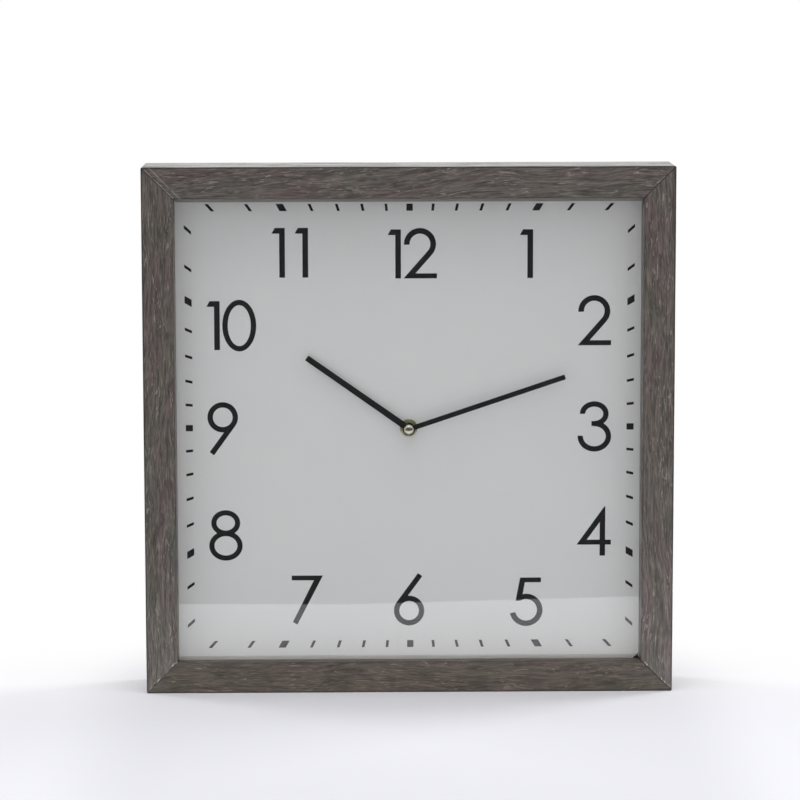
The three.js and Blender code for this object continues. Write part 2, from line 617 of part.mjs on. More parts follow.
function addMotionWork() {
  const steel = finish(0xa7a9ab, 0.35, 1);
  const white = finish(0xe8e6dd, 0.45, 0);
  const [cannonFront, cannonBack] = layer('cannon');
  const [, driveBack] = layer('drive');
  const seatBack = DIAL_FACE - MINUTE_HAND.rise + HAND_SHEET + 2 * SEAT;
  const threadBack = DIAL_FACE - MINUTE_HAND.rise - HAND_SHEET;
  const threadTip = DIAL_FACE - CAP_NUT.rise - CAP_NUT.boreDepth + SEAT;
  const shoulder = driveBack + SEAT / 3;
  const arbor = turned([
    [0, threadTip], [MINUTE_THREAD, threadTip], [MINUTE_THREAD, threadBack], [MINUTE_SEAT, threadBack],
    [MINUTE_SEAT, seatBack], [MINUTE_ARBOR, seatBack], [MINUTE_ARBOR, shoulder],
    [MINUTE_PIVOT, shoulder], [MINUTE_PIVOT, pivotsMeet - SEAT / 2], [0, pivotsMeet - SEAT / 2],
  ]);
  add(shaft, 'minute_arbor', joined(arbor, plate(cannonTeeth, cannonFront, cannonBack)), steel);

  const [hourFront, hourBack] = layer('hour');
  const tubeTip = DIAL_FACE - HOUR_HAND.rise - HAND_SHEET - 2 * SEAT;
  const tubeBore = MINUTE_ARBOR + RUNNING;
  const tube = plate(withHoles(circle(0, 0, HOUR_TUBE), circle(0, 0, tubeBore)), tubeTip, hourBack);
  const disc = plate(withHoles(hourTeeth, circle(0, 0, tubeBore)), hourFront, hourBack);
  add(shaft, 'hour_wheel', joined(disc, tube), white);

  const place = { x: settingAt.x, z: settingAt.y };
  const [pinionFront, pinionBack] = layer('settingPinion');
  const knobFront = COVER_BACK + SEAT + SEAT / 3;
  const setting = joined(
    plate(settingTeeth, cannonFront, cannonBack),
    plate(settingPinionTeeth, pinionFront, cannonBack - SEAT),
    rod(0, 0, SETTING_SHAFT, pinionBack, knobFront - SEAT / 3),
    rod(0, 0, MINUTE_PIVOT, CASE_FRONT + SEAT, pinionBack),
    rod(0, 0, MINUTE_THREAD, cannonBack, knobFront + KNOB.thickness - SEAT),
  );
  const settingMesh = add(shaft, 'setting_arbor', setting, white);
  settingMesh.position.set(place.x, 0, place.z);
  const grip = fluted(KNOB.radius, KNOB.flute, KNOB.flutes);
  const knob = cut(
    plate(grip, knobFront, knobFront + KNOB.thickness),
    rod(0, 0, MINUTE_THREAD + RUNNING, knobFront - 1, knobFront + KNOB.thickness - SEAT / 2),
  );
  add(shaft, 'setting_knob', knob, finish(0x26262a, 0.5, 0)).position.set(place.x, 0, place.z);
}

function fluted(radius, depth, count) {
  const points = [];
  for (let i = 0; i < 2 * count; i += 1) {
    const angle = (Math.PI * i) / count;
    const reach = i % 2 ? radius - depth : radius;
    points.push([reach * Math.cos(angle), reach * Math.sin(angle)]);
  }
  return outline(points);
}

// A wheel and its pinion on one arbor, with a pivot at each end
function arborWheel(wheel, wheelLayer, pinion, pinionLayer, pivotFront, pivot, front) {
  return joined(
    plate(wheel, ...layer(wheelLayer)),
    plate(pinion, ...layer(pinionLayer)),
    rod(0, 0, ARBOR, front, rearBossFront - SEAT, THIN),
    rod(0, 0, pivot, pivotFront, front + ARBOR, THIN),
    rod(0, 0, PIVOT, rearBossFront - ARBOR, pivotBack, THIN),
  );
}

function addGoingTrain() {
  const white = finish(0xe8e6dd, 0.45, 0);
  const [driveFront, driveBack] = layer('drive');
  const drive = plate(
    withHoles(driveTeeth, circle(0, 0, MINUTE_ARBOR + RUNNING)), driveFront, driveBack,
  );
  add(shaft, 'drive_wheel', drive, white);

  const third = arborWheel(
    thirdTeeth, 'third', thirdPinionTeeth, 'thirdPinion', floorBack + ARBOR, PIVOT, frontBossBack + SEAT,
  );
  add(shaft, 'third_wheel', third, white).position.set(thirdAt.x, 0, thirdAt.y);

  const seconds = arborWheel(
    secondsTeeth, 'seconds', secondsPinionTeeth, 'secondsPinion', pivotsMeet + SEAT / 2, MINUTE_PIVOT,
    plateBack + SEAT / 2,
  );
  add(shaft, 'seconds_wheel', seconds, white);

  const runner = arborWheel(
    runnerTeeth, 'runner', runnerPinionTeeth, 'runnerPinion', plateFront + SEAT, PIVOT, plateBack + SEAT,
  );
  add(shaft, 'intermediate_wheel', runner, white).position.set(runnerAt.x, 0, runnerAt.y);

  const rotorPinion = joined(
    plate(rotorPinionTeeth, ...layer('rotorPinion')),
    rod(0, 0, ARBOR, plateBack + SEAT, rearBossFront - SEAT, THIN),
    rod(0, 0, PIVOT, plateFront + SEAT, pivotBack, THIN),
  );
  add(shaft, 'rotor_pinion', rotorPinion, white).position.set(rotorAt.x, 0, rotorAt.y);
  const magnet = plate(
    withHoles(circle(0, 0, MAGNET_RADIUS), circle(0, 0, ARBOR + RUNNING, THIN)), ...layer('magnet'),
  );
  add(shaft, 'rotor_magnet', magnet, finish(0x4c4c50, 0.4, 1)).position.set(rotorAt.x, 0, rotorAt.y);
}

// The motor's iron and coil, and the board that pulses the coil
function addMotor() {
  const iron = finish(0x8f9092, 0.4, 1);
  const { left, leftInner, rightInner, right, bottom, base, top } = STATOR;
  const u = outline([
    [left, bottom], [right, bottom], [right, top], [rightInner, top],
    [rightInner, base], [leftInner, base], [leftInner, top], [left, top],
  ]);
  const bore = circle(rotorAt.x, rotorAt.y, MAGNET_RADIUS + MAGNET_GAP);
  add(shaft, 'stator', plate(withHoles(u, bore), ...layer('stator')), iron);
  const [coreFront, coreBack] = layer('core');
  add(shaft, 'coil_core', box(left, right, coreFront, coreBack, CORE.bottom, CORE.top), iron);

  const { hole, hub, wire, flange, flangeThickness } = COIL;
  const start = leftInner + SEAT;
  const end = rightInner - SEAT;
  const startFlange = start + flangeThickness;
  const endFlange = end - flangeThickness;
  const play = SEAT / 3;
  const bobbin = turnedRing([
    [hole, start], [flange, start], [flange, startFlange], [hub, startFlange],
    [hub, endFlange], [flange, endFlange], [flange, end], [hole, end],
  ]);
  const winding = turnedRing([
    [hub + play, startFlange + play], [wire, startFlange + play],
    [wire, endFlange - play], [hub + play, endFlange - play],
  ]);
  for (const mesh of [
    add(shaft, 'coil_bobbin', bobbin, finish(0xd8d4c6, 0.5, 0)),
    add(shaft, 'coil_winding', winding, finish(0xa8562c, 0.35, 1)),
  ]) {
    mesh.rotation.z = -Math.PI / 2;
    mesh.position.set(0, (coreFront + coreBack) / 2, (CORE.bottom + CORE.top) / 2);
  }

  const [boardFront, boardBack] = layer('board');
  add(shaft, 'circuit_board', box(
    BOARD.left, BOARD.right, boardFront, boardBack, BOARD.bottom, BOARD.top,
  ), finish(0x1f5a3a, 0.5, 0));
  const can = new THREE.CylinderGeometry(CRYSTAL.radius, CRYSTAL.radius, CRYSTAL.length, THIN);
  const crystal = add(shaft, 'quartz_crystal', can, finish(0xb9bbbd, 0.3, 1));
  crystal.rotation.z = Math.PI / 2;
  crystal.position.set(CRYSTAL.x, boardBack + SEAT + CRYSTAL.radius, CRYSTAL.z);
}

// The cell lies across the bottom of the case between two spring contacts
function addBattery() {
  const middle = (BAY_TOP - CAVITY_HALF) / 2;
  const axisDepth = floorBack + SEAT / 2 + BATTERY.radius;
  const total = BATTERY.length + BATTERY.nippleLength;
  const start = -total / 2;
  const cell = turned([
    [0, start], [BATTERY.radius, start], [BATTERY.radius, start + BATTERY.length],
    [BATTERY.nipple, start + BATTERY.length], [BATTERY.nipple, -start], [0, -start],
  ]);
  const mesh = add(shaft, 'battery', cell, finish(0x8b8d90, 0.4, 1));
  mesh.rotation.z = -Math.PI / 2;
  mesh.position.set(0, axisDepth, middle);
  const steel = finish(0xb4b6b8, 0.3, 1);
  const low = middle - CONTACT.width / 2;
  const front = axisDepth - CONTACT.height / 2;
  const outer = CAVITY_HALF - SEAT;
  const inner = outer - CONTACT.sheet;
  [['plus', inner, outer], ['minus', -outer, -inner]].forEach(([sign, left, right]) => {
    add(shaft, `battery_contact_${sign}`, box(
      left, right, front, front + CONTACT.height, low, low + CONTACT.width,
    ), steel);
  });
}

addFrame();
addPads();
addPane();
addSpacers();
addDialAndBoard();
addCase();
addMiddlePlate();
addNeck();
addMotionWork();
addGoingTrain();
addMotor();
addBattery();
addCover();
addHands();

export default root;
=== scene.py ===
import math
from functools import partial

import bmesh
import bpy
from mathutils import Matrix, Vector, noise


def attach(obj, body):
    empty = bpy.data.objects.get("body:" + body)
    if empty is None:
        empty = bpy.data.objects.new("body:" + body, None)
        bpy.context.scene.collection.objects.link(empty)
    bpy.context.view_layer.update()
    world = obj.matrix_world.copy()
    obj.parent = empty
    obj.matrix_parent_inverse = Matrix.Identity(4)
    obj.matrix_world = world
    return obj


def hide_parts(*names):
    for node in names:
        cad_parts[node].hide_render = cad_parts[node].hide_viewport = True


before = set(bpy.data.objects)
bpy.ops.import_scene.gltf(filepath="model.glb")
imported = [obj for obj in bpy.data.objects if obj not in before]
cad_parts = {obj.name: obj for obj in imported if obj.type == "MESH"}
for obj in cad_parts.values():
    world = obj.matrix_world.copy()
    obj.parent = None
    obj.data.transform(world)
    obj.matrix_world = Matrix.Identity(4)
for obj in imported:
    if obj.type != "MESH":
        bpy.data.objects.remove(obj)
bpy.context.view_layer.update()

# Camera
# The photograph is taken from straight in front and a little above, through a long lens.
# The place and the turns were found from the corners of the clock's frame.
IMAGE_SIDE = 800
FOCAL_PIXELS = 3355.8
SENSOR_WIDTH = 36.0
CAMERA_PLACE = Vector((-0.043453, -2.529022, 0.561577))
CAMERA_YAW = -0.01460766
CAMERA_PITCH = -0.13393944
CAMERA_ROLL = 0.00190961


def linked(name, data):
    """Makes an object from its data and puts it in the scene."""
    made = bpy.data.objects.new(name, data)
    bpy.context.collection.objects.link(made)
    return made


camera = linked("camera", bpy.data.cameras.new("camera"))
camera.data.sensor_width = SENSOR_WIDTH
camera.data.lens = FOCAL_PIXELS / IMAGE_SIDE * SENSOR_WIDTH
camera.matrix_world = (
    Matrix.Translation(CAMERA_PLACE)
    @ Matrix.Rotation(CAMERA_YAW, 4, "Z")
    @ Matrix.Rotation(CAMERA_PITCH, 4, "X")
    @ Matrix.Rotation(CAMERA_ROLL, 4, "Y")
    @ Matrix.Rotation(math.pi / 2, 4, "X")
)
bpy.context.scene.camera = camera
bpy.context.scene.view_settings.view_transform = "Standard"


# Table, backdrop and light
# The clock stands on a white table that runs out into a white backdrop.
# A wide soft lamp hangs over it and two smaller ones stand behind it at its sides. The table throws
# their light back up onto the dial.
def linear(colour):
    """Turns an sRGB hex colour into a linear one."""
    channels = [int(colour[place:place + 2], 16) / 255 for place in (1, 3, 5)]
    return tuple(c / 12.92 if c <= 0.04045 else ((c + 0.055) / 1.055) ** 2.4 for c in channels) + (1,)


SECOND_WORD_SETS = {
    "Math": "operation", "VectorMath": "operation", "Mix": "data_type", "MapRange": "interpolation_type",
}


def put(tree, kind, inputs=(), give=None, stops=(), **settings):
    """Adds a node with its settings, sets or links its inputs and returns one of its outputs.

    A shader node's kind goes without "ShaderNode", and a second word there makes one more setting.
    Inputs come by name or in their order, and From and To each give both ends of a range.
    """
    kind, *words = kind.split()
    made = tree.nodes.new(kind if "Node" in kind else "ShaderNode" + kind)
    for word in words:
        setattr(made, SECOND_WORD_SETS[kind], word)
    for name, value in settings.items():
        setattr(made, name, value)
    for count, (position, colour) in enumerate(stops):
        ramp = made.color_ramp.elements
        stop = ramp[count] if count < 2 else ramp.new(position)
        stop.position = position
        stop.color = linear(colour)
    values = dict(inputs if isinstance(inputs, dict) else enumerate(inputs))
    for span in ("From", "To"):
        if span in values:
            values[span + " Min"], values[span + " Max"] = values.pop(span)
    for key, value in values.items():
        named = [s for s in made.inputs if s.enabled and s.name == key]
        socket = named[0] if named else made.inputs[key]
        if isinstance(value, bpy.types.NodeSocket):
            tree.links.new(value, socket)
        else:
            socket.default_value = linear(value) if isinstance(value, str) else value
    if isinstance(give, tuple):
        return [made.outputs[name] for name in give]
    return next((s for s in made.outputs if s.enabled and give in (None, s.name)), None)


def new_material(name):
    """Makes an empty node material and returns it with a function that adds nodes to it."""
    made = bpy.data.materials.new(name)
    made.use_nodes = True
    made.node_tree.nodes.clear()
    return made, partial(put, made.node_tree)


def staged(name, corners, faces, finish):
    """Makes an object of the studio from corners in metres and faces that name them."""
    mesh = bpy.data.meshes.new(name)
    mesh.from_pydata(corners, [], faces)
    mesh.materials.append(finish)
    made = linked(name, mesh)
    return made


WHITE = (1, 1, 1, 1)
TABLE_WHITE = "#fbfbfe"
TABLE_MOTTLE = "#f9f9fc"
TABLE_HALF = 9.0
TABLE_FADE_START = -0.06
TABLE_FADE_END = 0.22
# Beside the clock the floor is painted light. From SIDE_START to SIDE_END out from the middle, the camera
# sees it paler and it turns white sooner, which washes out the lamps' shadows there.
SIDE_START = 0.18
SIDE_END = 0.27
SIDE_AHEAD_PAINTED_LIGHT = 0.06
FAR_START = 0.6
FAR_END = 1.5
CARD_REACH = 14.0
CARD_FAR = 6.0
CARD_EDGE = [
    (-CARD_REACH, -0.357), (-0.2, -0.357), (-0.05, -0.352), (0.2, -0.382), (CARD_REACH, -0.382),
]
CARD_HEIGHT = 4.6
CARD_LIFT = 0.0005
TABLE_SEEN = "#d8d8dd"
TABLE_SEEN_PAINTED_LIGHT_ASIDE = "#e4e4e9"
FRONT_LEVEL = 1.08
REAR_LEVEL = 0.26
LEVEL_TURN = 0.4
LAMPS = {
    # place in metres, size of the square in metres, watts
    "top_soft_box": ((0.0, -0.2, 1.9), 1.4, 11.0),
    "left_soft_box": ((-1.4, 0.6, 1.1), 0.6, 9.0),
    "right_soft_box": ((1.4, 0.6, 1.1), 0.6, 14.0),
}
LAMP_AIM = Vector((0.0, -0.05, 0.1))

table_finish, add = new_material("matt_white_table")
place = add("TexCoord", give="Object")
aside, depth = add("SeparateXYZ", [place], give=("X", "Y"))
aside = add("Math ABSOLUTE", [aside])
aside = add("MapRange SMOOTHSTEP", {"Value": aside, "From": (SIDE_START, SIDE_END)})
ahead = add("Math MULTIPLY", [aside, SIDE_AHEAD_PAINTED_LIGHT])
depth = add("Math ADD", [depth, ahead])
fade = add("MapRange SMOOTHSTEP", {"Value": depth, "From": (TABLE_FADE_START, TABLE_FADE_END)})
far = add("VectorMath LENGTH", [place], give="Value")
far = add("MapRange SMOOTHSTEP", {"Value": far, "From": (FAR_START, FAR_END)})
fade = add("Math MAXIMUM", [fade, far])
mottle = add("TexNoise", {"Vector": place, "Scale": 3.0, "Detail": 2.0})
tone = add("Mix RGBA", {"Factor": mottle, "A": TABLE_WHITE, "B": TABLE_MOTTLE})
rays = add("LightPath", give="Is Camera Ray")
# Painted light: the floor the camera sees is paler beside the clock.
seen_tone_with_painted_light = add("Mix RGBA", {"Factor": aside, "A": TABLE_SEEN, "B": TABLE_SEEN_PAINTED_LIGHT_ASIDE})
tone = add("Mix RGBA", {"Factor": rays, "A": tone, "B": seen_tone_with_painted_light})
shaded = add("BsdfDiffuse", {"Color": tone})
bright = add("Emission", {"Color": WHITE, "Strength": 1.0})
blend = add("Math MULTIPLY", [rays, fade])
mixed = add("MixShader", [blend, shaded, bright])
add("OutputMaterial", {"Surface": mixed})
staged("table", [
    (-TABLE_HALF, -TABLE_HALF, 0), (TABLE_HALF, -TABLE_HALF, 0),
    (TABLE_HALF, TABLE_HALF, 0), (-TABLE_HALF, TABLE_HALF, 0),
], [(0, 1, 2, 3)], table_finish)

# The room behind the camera is dark. Only reflections see this card, from the table's front edge on,
# and the light that falls on matt surfaces passes it.
card_finish, add = new_material("dark_card")
dark = add("Emission", {"Color": "#5e5e5e", "Strength": 1.0})
clear = add("BsdfTransparent")
bounces = add("LightPath", give="Diffuse Depth")
mixed = add("MixShader", [bounces, dark, clear])
add("OutputMaterial", {"Surface": mixed})
lines = (
    [(x, y, CARD_LIFT) for x, y in CARD_EDGE],
    [(x, -CARD_FAR, CARD_LIFT) for x, y in CARD_EDGE],
    [(x, -CARD_FAR, CARD_HEIGHT) for x, y in CARD_EDGE],
)
last = len(CARD_EDGE)
card = staged("dark_card", [corner for line in lines for corner in line], [
    (row * last + step, row * last + step + 1, (row + 1) * last + step + 1, (row + 1) * last + step)
    for row in range(2) for step in range(last - 1)
], card_finish)
card.visible_camera = False
card.visible_diffuse = False
card.visible_shadow = False

world = bpy.data.worlds.new("white_studio")
bpy.context.scene.world = world
world.use_nodes = True
world.node_tree.nodes.clear()
add = partial(put, world.node_tree)
seen = 0.0
for sort_of_ray in ("Is Camera Ray", "Is Glossy Ray", "Is Transmission Ray"):
    seen = add("Math MAXIMUM", [seen, add("LightPath", give=sort_of_ray)])
toward = add("TexCoord", give="Generated")
toward = add("SeparateXYZ", [toward], give="Y")
soft = add("MapRange", {
    "Value": toward, "From": (-LEVEL_TURN, LEVEL_TURN), "To": (FRONT_LEVEL, REAR_LEVEL),
})
level = add("MapRange", {"Value": seen, "To": (soft, 1.0)})
sky = add("Background", {"Color": WHITE, "Strength": level})
add("OutputWorld", {"Surface": sky})

for name, (place, size, watts) in LAMPS.items():
    lamp = linked(name, bpy.data.lights.new(name, "AREA"))
    lamp.data.size = size
    lamp.data.energy = watts
    lamp.location = place
    lamp.rotation_mode = "QUATERNION"
    lamp.rotation_quaternion = (LAMP_AIM - lamp.location).to_track_quat("-Z", "Y")


# Wooden rails
# Four lengths of pine moulding, sawn at 45 degrees and glued and nailed into a box frame.
# They are stained a weathered grey-brown, and handling has rubbed their edges round.
MM = 0.001
FRONT = -27.5
MIDDLE_HEIGHT = 200.0
SHARP_ANGLE = math.radians(32)
RAIL_LENGTH = 400.0
RAIL_FACE = 24.0
RAIL_WALL = 16.0
LIP_DEPTH = 8.7
RAIL_DEPTH = 53.0
END_GAP = 0.15
END_STATIONS = [0, 0.3, 0.7, 1.2, 1.8, 2.6, 3.6, 5.0]
CORNER_ROUND = 1.7
STATION_STEP = 1.6
ARC_STEPS = 4
FACE_STEPS = 8
SHOULDER = [(0.45, 0.75), (1.1, 0.0)]
EDGE_WEAR = 0.22
EDGE_CHIP = 0.5
CHIP_LEAST = 0.35
RUB_PITCH = 0.03
RUB_APART = 7.3
RUB_LAYER = 0.5
CHIP_PITCH = 0.35
CHIP_APART = 3.1
CHIP_LAYER = 4.5
GRAIN_ALONG = 730.0
GRAIN_ACROSS = 91.0
RAIL_SECTION = [
    # inset, depth, radius, wear
    (0.0, 0.0, 0.45, 1.0),
    (RAIL_FACE, 0.0, 0.4, 0.5),
    (RAIL_FACE, LIP_DEPTH, 0.3, 0.2),
    (RAIL_WALL, LIP_DEPTH, 0.2, 0.0),
    (RAIL_WALL, RAIL_DEPTH, 0.5, 0.4),
    (0.0, RAIL_DEPTH, 0.9, 0.8),
]
RAIL_NAMES = ["bottom", "right", "top", "left"]
# Each rail's stain. The bottom rail's much darker stain is painted shade, against the light the table
# throws up onto it.
RAIL_STAIN_AND_PAINTED_SHADE = [(0.7, 0.6, 0.52), (0.94, 0.87, 0.89), (0.9, 0.85, 0.875), (0.87, 0.825, 0.815)]
RAIL_SLANT = [0.01, 0.03, 0.09, -0.02]
RAIL_COAT = [0.6, 1.0, 1.0, 1.0]
# How dark each rail's lip inner side is drawn: painted shade.
LIP_PAINTED_SHADE = [0.3, 0.62, 0.3, 0.5]
FILED_DEPTH = 0.5
LIP_START = 0.4
# The joint at each rail's start and end, as the strength of its dark line, pale chips and scratches.
RAIL_JOINTS = [
    ((0.3, 0.0, 0.0), (1.0, 0.15, 0.0)),
    ((0.9, 1.0, 0.0), (0.55, 0.1, 0.0)),
    ((0.7, 0.3, 0.0), (0.35, 0.0, 1.0)),
    ((0.3, 0.0, 0.0), (0.35, 0.7, 0.0)),
]


def at(across, depth, height):
    """Gives a place in metres from mm right of the middle, behind the front and above the table."""
    return Vector((across, FRONT + depth, height)) * MM


def as_piece(made, body, slot, *nodes):
    """Puts a finished object under its body and hides the CAD nodes that it stands for. The slot is not
    used.
    """
    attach(made, body)
    if nodes:
        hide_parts(*nodes)


def formed(name, form, finish, body, slot, *nodes):
    """Turns a bmesh into a piece that is smooth apart from its sharp edges."""
    bmesh.ops.recalc_face_normals(form, faces=form.faces)
    mesh = bpy.data.meshes.new(name)
    form.to_mesh(mesh)
    form.free()
    mesh.materials.append(finish)
    mesh.polygons.foreach_set("use_smooth", [True] * len(mesh.polygons))
    mesh.set_sharp_from_angle(angle=SHARP_ANGLE)
    as_piece(linked(name, mesh), body, slot, *nodes)


def rail_outline():
    """Gives the rail's rounded section as (place, wear, direction of the wear) points."""
    points = []
    for count, (inset, depth, radius, wear) in enumerate(RAIL_SECTION):
        corner = Vector((inset, depth))
        back = Vector(RAIL_SECTION[count - 1][:2]) - corner
        ahead = Vector(RAIL_SECTION[(count + 1) % len(RAIL_SECTION)][:2]) - corner
        back.normalize()
        ahead.normalize()
        inward = (back + ahead).normalized()
        for distance, strength in reversed(SHOULDER):
            points.append((corner + back * (radius + distance), wear * strength, inward))
        centre = corner + (back + ahead) * radius
        for step in range(ARC_STEPS + 1):
            turn = step / ARC_STEPS * math.pi / 2
            place = centre - ahead * radius * math.cos(turn) - back * radius * math.sin(turn)
            points.append((place, wear, inward))
        for distance, strength in SHOULDER:
            points.append((corner + ahead * (radius + distance), wear * strength, inward))
        if count == 0:
            for step in range(1, FACE_STEPS):
                points.append((Vector((RAIL_FACE * step / FACE_STEPS, 0)), 0.0, Vector((0, 1))))
    return points


def rail_stations():
    """Gives the places along a rail, closer together at its two ends."""
    run = RAIL_LENGTH - 2 * END_STATIONS[-1]
    count = int(run / STATION_STEP)
    middle = [END_STATIONS[-1] + run * step / count for step in range(1, count)]
    far = [RAIL_LENGTH - place for place in reversed(END_STATIONS)]
    return [place / RAIL_LENGTH for place in END_STATIONS + middle + far]


def worn(along, rail):
    """Gives how deep an edge is rubbed or chipped at a place, from 0 to 1."""
    rub = noise.noise(Vector((along * RUB_PITCH, rail * RUB_APART, RUB_LAYER))) * 0.5 + 0.5
    chip = noise.noise(Vector((along * CHIP_PITCH, rail * CHIP_APART, CHIP_LAYER)))
    return rub * EDGE_WEAR + max(0.0, chip - CHIP_LEAST) * EDGE_CHIP


def rounded_corner(along, inset):
    """Pulls a point near the frame's outer corner onto a small round."""
    from_end = min(along, RAIL_LENGTH - along)
    if from_end >= CORNER_ROUND or inset >= CORNER_ROUND:
        return along, inset
    away = Vector((from_end - CORNER_ROUND, inset - CORNER_ROUND))
    if away.length > CORNER_ROUND:
        away = away.normalized() * CORNER_ROUND
    from_end = away.x + CORNER_ROUND
    along = from_end if along < RAIL_LENGTH / 2 else RAIL_LENGTH - from_end
    return along, away.y + CORNER_ROUND


def rail_form(rail):
    """Builds one mitred rail. Rail 0 is the bottom one, and each next one is a quarter turn on."""
    form = bmesh.new()
    layers = form.verts.layers
    grain, stain, joint = (layers.float_vector.new(name) for name in ("grain", "stain", "joint"))
    mitre, edge, coat = (layers.float.new(name) for name in ("mitre", "edge", "coat"))
    quarter = Matrix.Rotation(-rail * math.pi / 2, 4, "Y")
    rows = []
    for share in rail_stations():
        row = []
        for place, wear, inward in rail_outline():
            start = place.x + END_GAP
            along = start + share * (RAIL_LENGTH - 2 * start)
            moved = place + inward * wear * worn(along, rail)
            turned_along, inset = rounded_corner(along, moved.x)
            flat = Vector((turned_along - RAIL_LENGTH / 2, FRONT + moved.y, inset - MIDDLE_HEIGHT))
            vertex = form.verts.new((quarter @ flat + Vector((0, 0, MIDDLE_HEIGHT))) * MM)
            across = place.x - RAIL_SLANT[rail] * along
            vertex[grain] = (along + rail * GRAIN_ALONG, across + rail * GRAIN_ACROSS, place.y)
            vertex[stain] = RAIL_STAIN_AND_PAINTED_SHADE[rail]
            line, chips, scratches = RAIL_JOINTS[rail][0 if share < 0.5 else 1]
            vertex[joint] = (line, chips, scratches if place.y < FILED_DEPTH else 0.0)
            vertex[mitre] = min(along - place.x, RAIL_LENGTH - along - place.x) / math.sqrt(2)
            # On the lip's inner side the edge value is raised, which darkens it as painted shade.
            on_lip = place.x > RAIL_FACE - END_GAP and LIP_START < place.y < LIP_DEPTH
            vertex[edge] = max(wear, LIP_PAINTED_SHADE[rail]) if on_lip else wear
            vertex[coat] = RAIL_COAT[rail]
            row.append(vertex)
        rows.append(row)
    for low, high in zip(rows, rows[1:]):
        for count in range(len(low)):
            after = (count + 1) % len(low)
            form.faces.new((low[count], low[after], high[after], high[count]))
    form.faces.new(rows[0])
    form.faces.new(rows[-1])
    return form


def stretched(add, place, grains, detail, give=None, **more):
    """Gives a noise that is drawn out by its own number of grains to a unit along each axis."""
    place = add("VectorMath MULTIPLY", [place, grains])
    return add("TexNoise", {"Vector": place, "Scale": 1.0, "Detail": detail, **more}, give=give)


# Stained pine under a thin brushed coat: broken pale lime in the grain, dark pores, tints that drift
# from olive to purple along the rail, and a dull sheen that turns bright at a low angle.
stained_pine, add = new_material("weathered_stained_pine")
grain, stain, joint = (
    add("Attribute", give="Vector", attribute_name=name) for name in ("grain", "stain", "joint")
)
mitre, edge, coat = (
    add("Attribute", give="Fac", attribute_name=name) for name in ("mitre", "edge", "coat")
)
drift = stretched(add, grain, (0.011, 0.02, 0.02), 2.0, give="Color")
drift = add("VectorMath SUBTRACT", [drift, (0.5, 0.5, 0.5)])
drift = add("VectorMath MULTIPLY", [drift, (0.0, 16.0, 16.0)])
wavy = add("VectorMath ADD", [grain, drift])
streak = stretched(add, wavy, (0.03, 0.45, 0.45), 3.0, Roughness=0.55)
fibre = stretched(add, wavy, (0.09, 1.2, 1.2), 2.0)
patch = stretched(add, wavy, (0.018, 0.08, 0.08), 1.0)
cluster = stretched(add, grain, (0.03, 0.12, 0.12), 1.0)

# Round small knots the grain curls, and the pale flecks with it.
knot = add("MapRange", {"Value": cluster, "From": (0.55, 0.7), "To": (0.0, 5.0)})
curl = stretched(add, grain, (0.14, 0.2, 0.2), 1.0, give="Color")
curl = add("VectorMath SUBTRACT", [curl, (0.5, 0.5, 0.5)])
curl = add("VectorMath SCALE", {0: curl, "Scale": knot})
curly = add("VectorMath ADD", [wavy, curl])
fleck = stretched(add, curly, (0.13, 0.95, 0.95), 1.0)

shade = add("MapRange", {"Value": streak, "From": (0.37, 0.63)})
body = add("Mix RGBA", {"Factor": shade, "A": "#45413c", "B": "#625c55"})
pore = add("MapRange", {"Value": fibre, "From": (0.45, 0.33), "To": (0.0, 0.6)})
hair = add("MapRange", {"Value": fibre, "From": (0.55, 0.67), "To": (0.0, 0.5)})
crowd = add("MapRange", {"Value": cluster, "From": (0.42, 0.6), "To": (0.15, 1.0)})
lime = add("MapRange", {"Value": fleck, "From": (0.61, 0.68)})
lime = add("Math MULTIPLY", [lime, crowd])
lime = add("Math MULTIPLY", [lime, 0.6])
for mask, colour in ((pore, "#2c2825"), (hair, "#7c766f"), (lime, "#9a928b")):
    body = add("Mix RGBA", {"Factor": mask, "A": body, "B": colour})
tint = add("ValToRGB", {"Fac": patch}, give="Color", stops=[
    (0.36, "#f6fffb"), (0.45, "#fffffa"), (0.53, "#ffffff"), (0.64, "#fff3f8"),
])
body = add("VectorMath MULTIPLY", [body, tint])
# Each rail's stain from its attribute. On the bottom rail it includes painted shade.
body = add("VectorMath MULTIPLY", [body, stain])
# Darker towards the worn edges, by the edge value. On the lip's inner side this darkening is painted
# shade.
darker_edges_and_painted_lip_shade = add("MapRange", {"Value": edge, "From": (0.2, 0.8), "To": (0.0, 0.75)})
body = add("Mix RGBA", {"Factor": darker_edges_and_painted_lip_shade, "A": body, "B": "#241f1d"})

# At each joint: a dark line, pale raw wood where the saw chipped it, and scratches from the file.
line_part, chip_part, scratch_part = add("SeparateXYZ", [joint], give=("X", "Y", "Z"))
across_grain = add("SeparateXYZ", [grain], give="Y")
beside = add("CombineXYZ", {"X": mitre, "Y": across_grain})
ragged = stretched(add, beside, (0.5, 0.35, 0.0), 2.0)
sawn = add("MapRange", {"Value": mitre, "From": (0.75, 0.3), "To": (0.0, 0.9)})
sawn = add("Math MULTIPLY", [sawn, line_part])
filled = add("MapRange", {"Value": ragged, "From": (0.4, 0.55), "To": (0.5, 1.0)})
sawn = add("Math MULTIPLY", [sawn, filled])
near = add("MapRange", {"Value": mitre, "From": (1.9, 1.2)})
chip = add("MapRange", {"Value": ragged, "From": (0.57, 0.61), "To": (0.0, 0.9)})
chip = add("Math MULTIPLY", [chip, near])
chip = add("Math MULTIPLY", [chip, chip_part])
body = add("Mix RGBA", {"Factor": chip, "A": body, "B": "#b8aca0"})
broken = add("MapRange", {"Value": ragged, "From": (0.4, 0.5), "To": (0.0, 0.6)})
